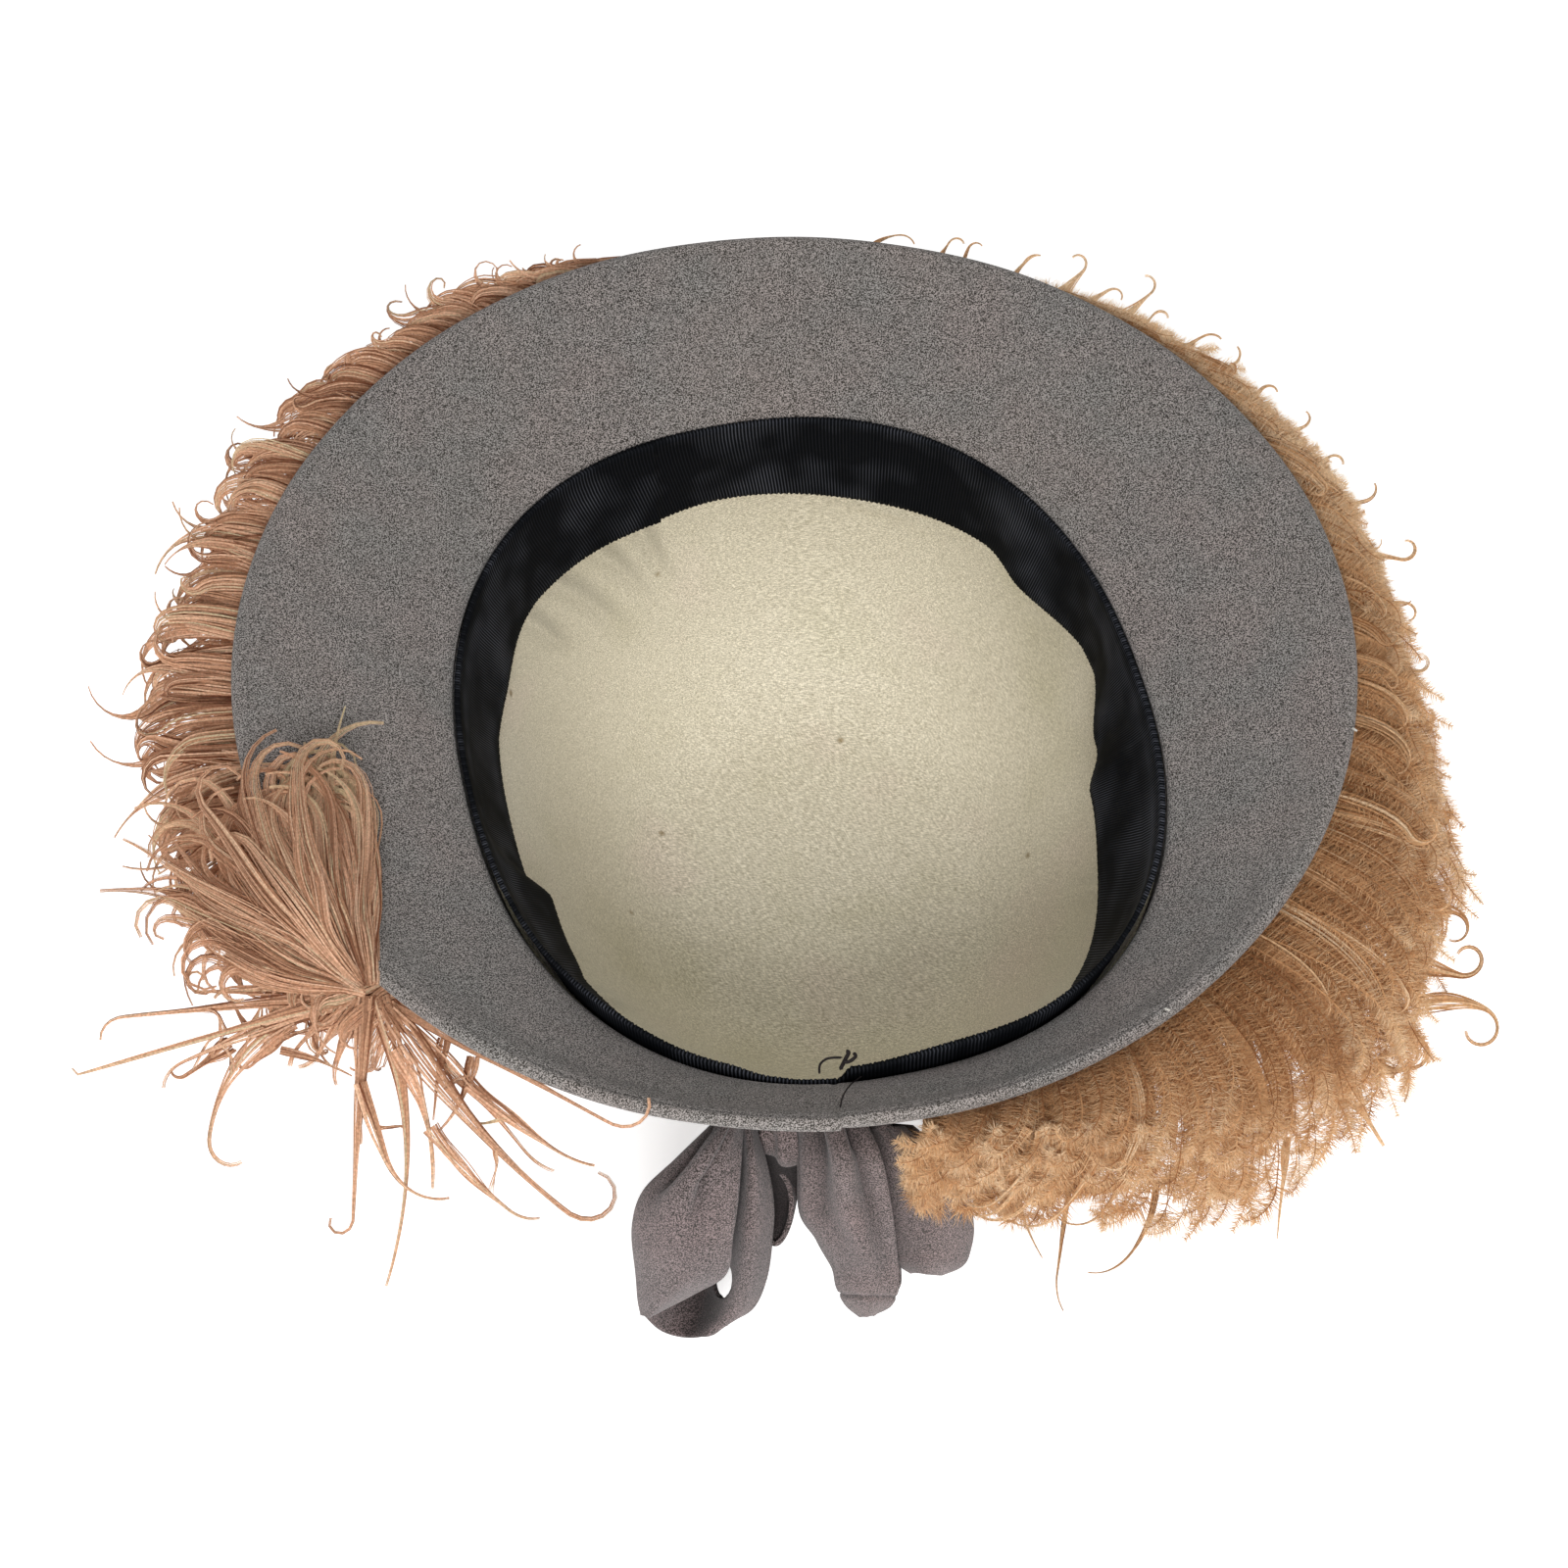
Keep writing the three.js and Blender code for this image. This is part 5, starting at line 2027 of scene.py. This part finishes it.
RIGHT_FRINGE = (
    Fringe(-76, 5, 44, -14, -24),
    Fringe(-70, 9, 48, -16, -24),
    Fringe(-60, 17, 50, -14, -22),
    Fringe(-48, 33, 54, -8, -20),
    Fringe(-35, 43, 60, -4, -16),
    Fringe(-20, 39, 58, -8, -12),
    Fringe(0, 24, 50, -22, -12),
    Fringe(15, 17, 40, -32, -10),
    Fringe(30, 15, 34, -42, -6),
    Fringe(45, 14.5, 28, -50, -6),
    Fringe(60, 12, 20, -58, -4),
    Fringe(78, 5.5, 12, -66, -2),
)
LEFT_FRINGE = (
    Fringe(99, 9, 14, 46, 0),
    Fringe(120, 20, 24, 24, 6),
    Fringe(135, 22, 31, 14, 4),
    Fringe(150, 22, 35, 8, 2),
    Fringe(165, 23, 38, 3, 0),
    Fringe(180, 24, 40, 0, 0),
    Fringe(195, 25, 42, 0, 0),
    Fringe(210, 22, 44, 2, 4),
    Fringe(222, 12, 42, 6, 8),
)
FRONDS = (
    Stroke(352, 1012, 180, 195, 0, -300, 0.74, 1.3, 93),
    Stroke(345, 1008, 177, 130, 8, 60, 0.8, 1.6, 96),
    Stroke(350, 1017, 184, 262, 3, 100, 0.84, 1.2, 90),
    Stroke(345, 1020, 196, 285, 0, -160, 0.94, 1.1, 88),
    Stroke(340, 1024, 198, 200, 8, 70, 0.8, 1.6, 88),
    Stroke(300, 1042, 206, 205, 78, 120, 0.72, 1.5, 84),
    Stroke(236, 1066, 214, 78, 0, -150, 0.7, 1.0, 86),
    Stroke(296, 1046, 224, 88, 8, -250, 0.6, 1.1, 86),
    Stroke(362, 1016, 218, 100, 10, 40, 0.7, 2.0, 88),
    Stroke(364, 1018, 232, 95, 10, -60, 0.7, 2.0, 86),
    Stroke(366, 1020, 247, 92, 8, 40, 0.7, 1.8, 84),
    Stroke(286, 1072, 350, 78, -20, 0, 0.9, 0.5, 90),
    Stroke(372, 1016, 267, 272, 0, -235, 0.82, 1.4, 68),
    Stroke(367, 1105, 287, 165, 8, 80, 0.45, 1.1, 70),
    Stroke(374, 1018, 262, 150, 12, 0, 0.9, 1.7, 76),
    Stroke(386, 1018, 290, 300, -38, 0, 0.9, 1.3, 64),
    Stroke(404, 1070, 302, 150, -36, 0, 0.9, 1.2, 72),
    Stroke(393, 1026, 302, 378, 26, 215, 0.72, 1.8, 70),
    Stroke(440, 1150, 305, 150, 22, 50, 0.75, 1.2, 70),
    Stroke(478, 1106, 318, 155, 14, 20, 0.7, 1.2, 72),
    Stroke(400, 1030, 318, 235, -12, 40, 0.8, 1.7, 74),
    Stroke(402, 1024, 331, 312, 0, 150, 0.78, 1.3, 110),
    Stroke(454, 1060, 258, 84, 8, 0, 0.9, 0.8, 86),
    Stroke(483, 1078, 264, 84, -38, 0, 0.9, 0.8, 84),
)
RIGHT_LOOPS = (
    Stroke(1412, 815, 322, 88, 0, 20, 0.7, 1.9, 92),
    Stroke(1430, 912, 342, 108, 0, -200, 0.5, 1.3, 86),
    Stroke(1435, 982, 346, 122, 0, 270, 0.42, 1.2, 82),
    Stroke(1440, 1028, 18, 152, -80, -215, 0.46, 1.2, 76),
    Stroke(1366, 1066, 312, 118, 90, 120, 0.72, 1.6, 66),
    Stroke(1410, 1026, 326, 78, -20, -70, 0.7, 1.8, 78),
    Stroke(1372, 1105, 302, 76, 0, 0, 0.9, 1.6, 60),
    Stroke(1400, 1050, 350, 70, -40, -120, 0.6, 1.5, 72),
    Stroke(1314, 1160, 264, 105, 0, 0, 0.9, 0.4, 48),
    Stroke(1030, 1190, 280, 100, 20, 0, 0.9, 0.35, 50),
    Stroke(1094, 1190, 262, 150, 0, 40, 0.7, 0.35, 46),
    Stroke(1180, 1205, 268, 130, -60, -40, 0.6, 0.4, 48),
)
RIGHT_TOPS = (
    Stroke(876, 268, 62, 72, -80, -60, 0.7, 0.4, 103),
    Stroke(948, 280, 56, 58, 6, -150, 0.62, 0.7, 103),
    Stroke(978, 286, 78, 52, -16, -130, 0.62, 0.5, 102),
    Stroke(1024, 300, 64, 58, -24, -60, 0.7, 0.9, 102),
    Stroke(1066, 316, 42, 84, 10, 190, 0.64, 1.1, 101),
    Stroke(1094, 328, 52, 72, -34, -150, 0.66, 0.9, 101),
    Stroke(1126, 338, 36, 88, 8, 160, 0.68, 1.1, 100),
    Stroke(1150, 358, 62, 66, -24, -140, 0.68, 0.9, 100),
    Stroke(1184, 374, 42, 74, -20, -80, 0.7, 0.9, 99),
    Stroke(1218, 404, 38, 74, 0, 110, 0.7, 1.0, 98),
    Stroke(1250, 432, 40, 72, 10, -140, 0.68, 1.0, 97),
    Stroke(1278, 460, 32, 78, -20, 150, 0.7, 1.0, 96),
    Stroke(1306, 492, 24, 78, 10, -150, 0.7, 1.0, 95),
    Stroke(1330, 530, 20, 90, -10, 120, 0.7, 1.1, 94),
    Stroke(1350, 568, 8, 116, -30, 230, 0.66, 1.3, 92),
    Stroke(1364, 612, 354, 98, 10, -190, 0.68, 1.2, 90),
    Stroke(1378, 664, 346, 96, -10, 190, 0.68, 1.3, 88),
    Stroke(1386, 714, 339, 96, 0, 200, 0.68, 1.3, 86),
)
BACK_CURLS = (
    Stroke(1050, 1152, 236, 120, -30, -150, 0.6, 0.5, 84),
    Stroke(1075, 1150, 245, 150, -40, -120, 0.6, 0.5, 80),
    Stroke(1020, 1156, 225, 90, -20, -170, 0.55, 0.5, 90),
    Stroke(1100, 1146, 252, 170, -50, -90, 0.6, 0.6, 74),
    Stroke(1060, 1154, 262, 140, -60, -100, 0.6, 0.5, 72),
    Stroke(1130, 1138, 262, 180, -60, -80, 0.6, 0.6, 70),
    Stroke(1165, 1126, 268, 190, -60, -120, 0.6, 0.6, 68),
    Stroke(1000, 1160, 250, 80, -60, -200, 0.5, 0.5, 86),
)
DARK_THREADS = (
    Thread(((882, 1096), (868, 1107), (860, 1119), (857, 1132)), 1.45, 0.4),
    Thread(((836, 1096), (837, 1086), (845, 1080), (860, 1079)), 3.5, 0.55),
    Thread(((857, 1092), (862, 1082), (866, 1074), (863, 1073)), 5.0, 0.9),
    Thread(((860, 1084), (867, 1083), (873, 1078), (871, 1074)), 5.5, 0.8),
)
PALE_THREADS = (
    Thread(((1300, 655), (1312, 649), (1335, 643)), 1.5, 0.18),
    Thread(((1380, 743), (1385, 746)), 2.75, 0.55),
    Thread(((1189, 1029), (1194, 1031)), 2.75, 0.55),
)


def main() -> None:
    """Builds the hat piece by piece, then its studio."""
    logging.basicConfig(level=logging.INFO, format="%(name)s: %(message)s")
    sight, plan = Sight(), HatPlan()
    sight.camera()
    crepe = CrepeFinish("brim_crepe", (0.134, 0.125, 0.120)).material()
    bow_crepe = CrepeFinish("bow_crepe", (0.096, 0.074, 0.075)).material()
    silk = SilkFinish("lining_silk", (0.70, 0.65, 0.53)).material()
    ribbon = GrosgrainFinish("grosgrain_ribbon", (0.0025, 0.003, 0.004)).material()
    fluffy = FeatherFinish(
        "plume_fluff",
        deep=(0.26, 0.105, 0.035),
        middle=(0.62, 0.35, 0.165),
        pale=(0.76, 0.52, 0.30),
        faded=(0.84, 0.66, 0.45),
    ).material()
    stringy = FeatherFinish(
        "plume_strands",
        deep=(0.20, 0.07, 0.03),
        middle=(0.64, 0.37, 0.225),
        pale=(0.88, 0.59, 0.41),
        faded=(0.68, 0.58, 0.38),
    ).material()
    Crown(plan).build(crepe)
    Brim(plan).build(crepe)
    Lining(plan).build(silk)
    Sweatband(plan).build(ribbon)
    Bow(sight).build(bow_crepe)
    RightPlume(plan, "plume_right", RIGHT_FRINGE, 13).build(fluffy)
    LeftPlume(plan, "plume_left", LEFT_FRINGE, 23).build(stringy)
    Tuft(plan, sight).build(stringy)
    Strings(
        sight, "plume_left_fronds", "plume_left", 57, FRONDS, (372, 1012), 101, webs=26
    ).build(stringy)
    Strings(
        sight, "plume_right_loops", "plume_right", 61, RIGHT_LOOPS, (1450, 950), 94
    ).build(fluffy)
    Strings(
        sight, "plume_right_tops", "plume_right", 67, RIGHT_TOPS, (1000, 350), 101, fall=0.01, tone=0.72
    ).build(fluffy)
    Strings(
        sight, "plume_right_curls", "plume_right", 71, BACK_CURLS, (1060, 1140), 101, fall=0.03, tone=0.6
    ).build(fluffy)
    dark = ThreadFinish("dark_thread", (0.014, 0.010, 0.010)).material()
    pale = ThreadFinish("pale_thread", (0.55, 0.53, 0.48)).material()
    Threads(plan, sight, "sewing_threads", DARK_THREADS).build(dark, Slot.GROSGRAIN)
    Threads(plan, sight, "lint", PALE_THREADS).build(pale, Slot.CREPE)
    Studio().build()


if __name__ == "__main__":
    main()
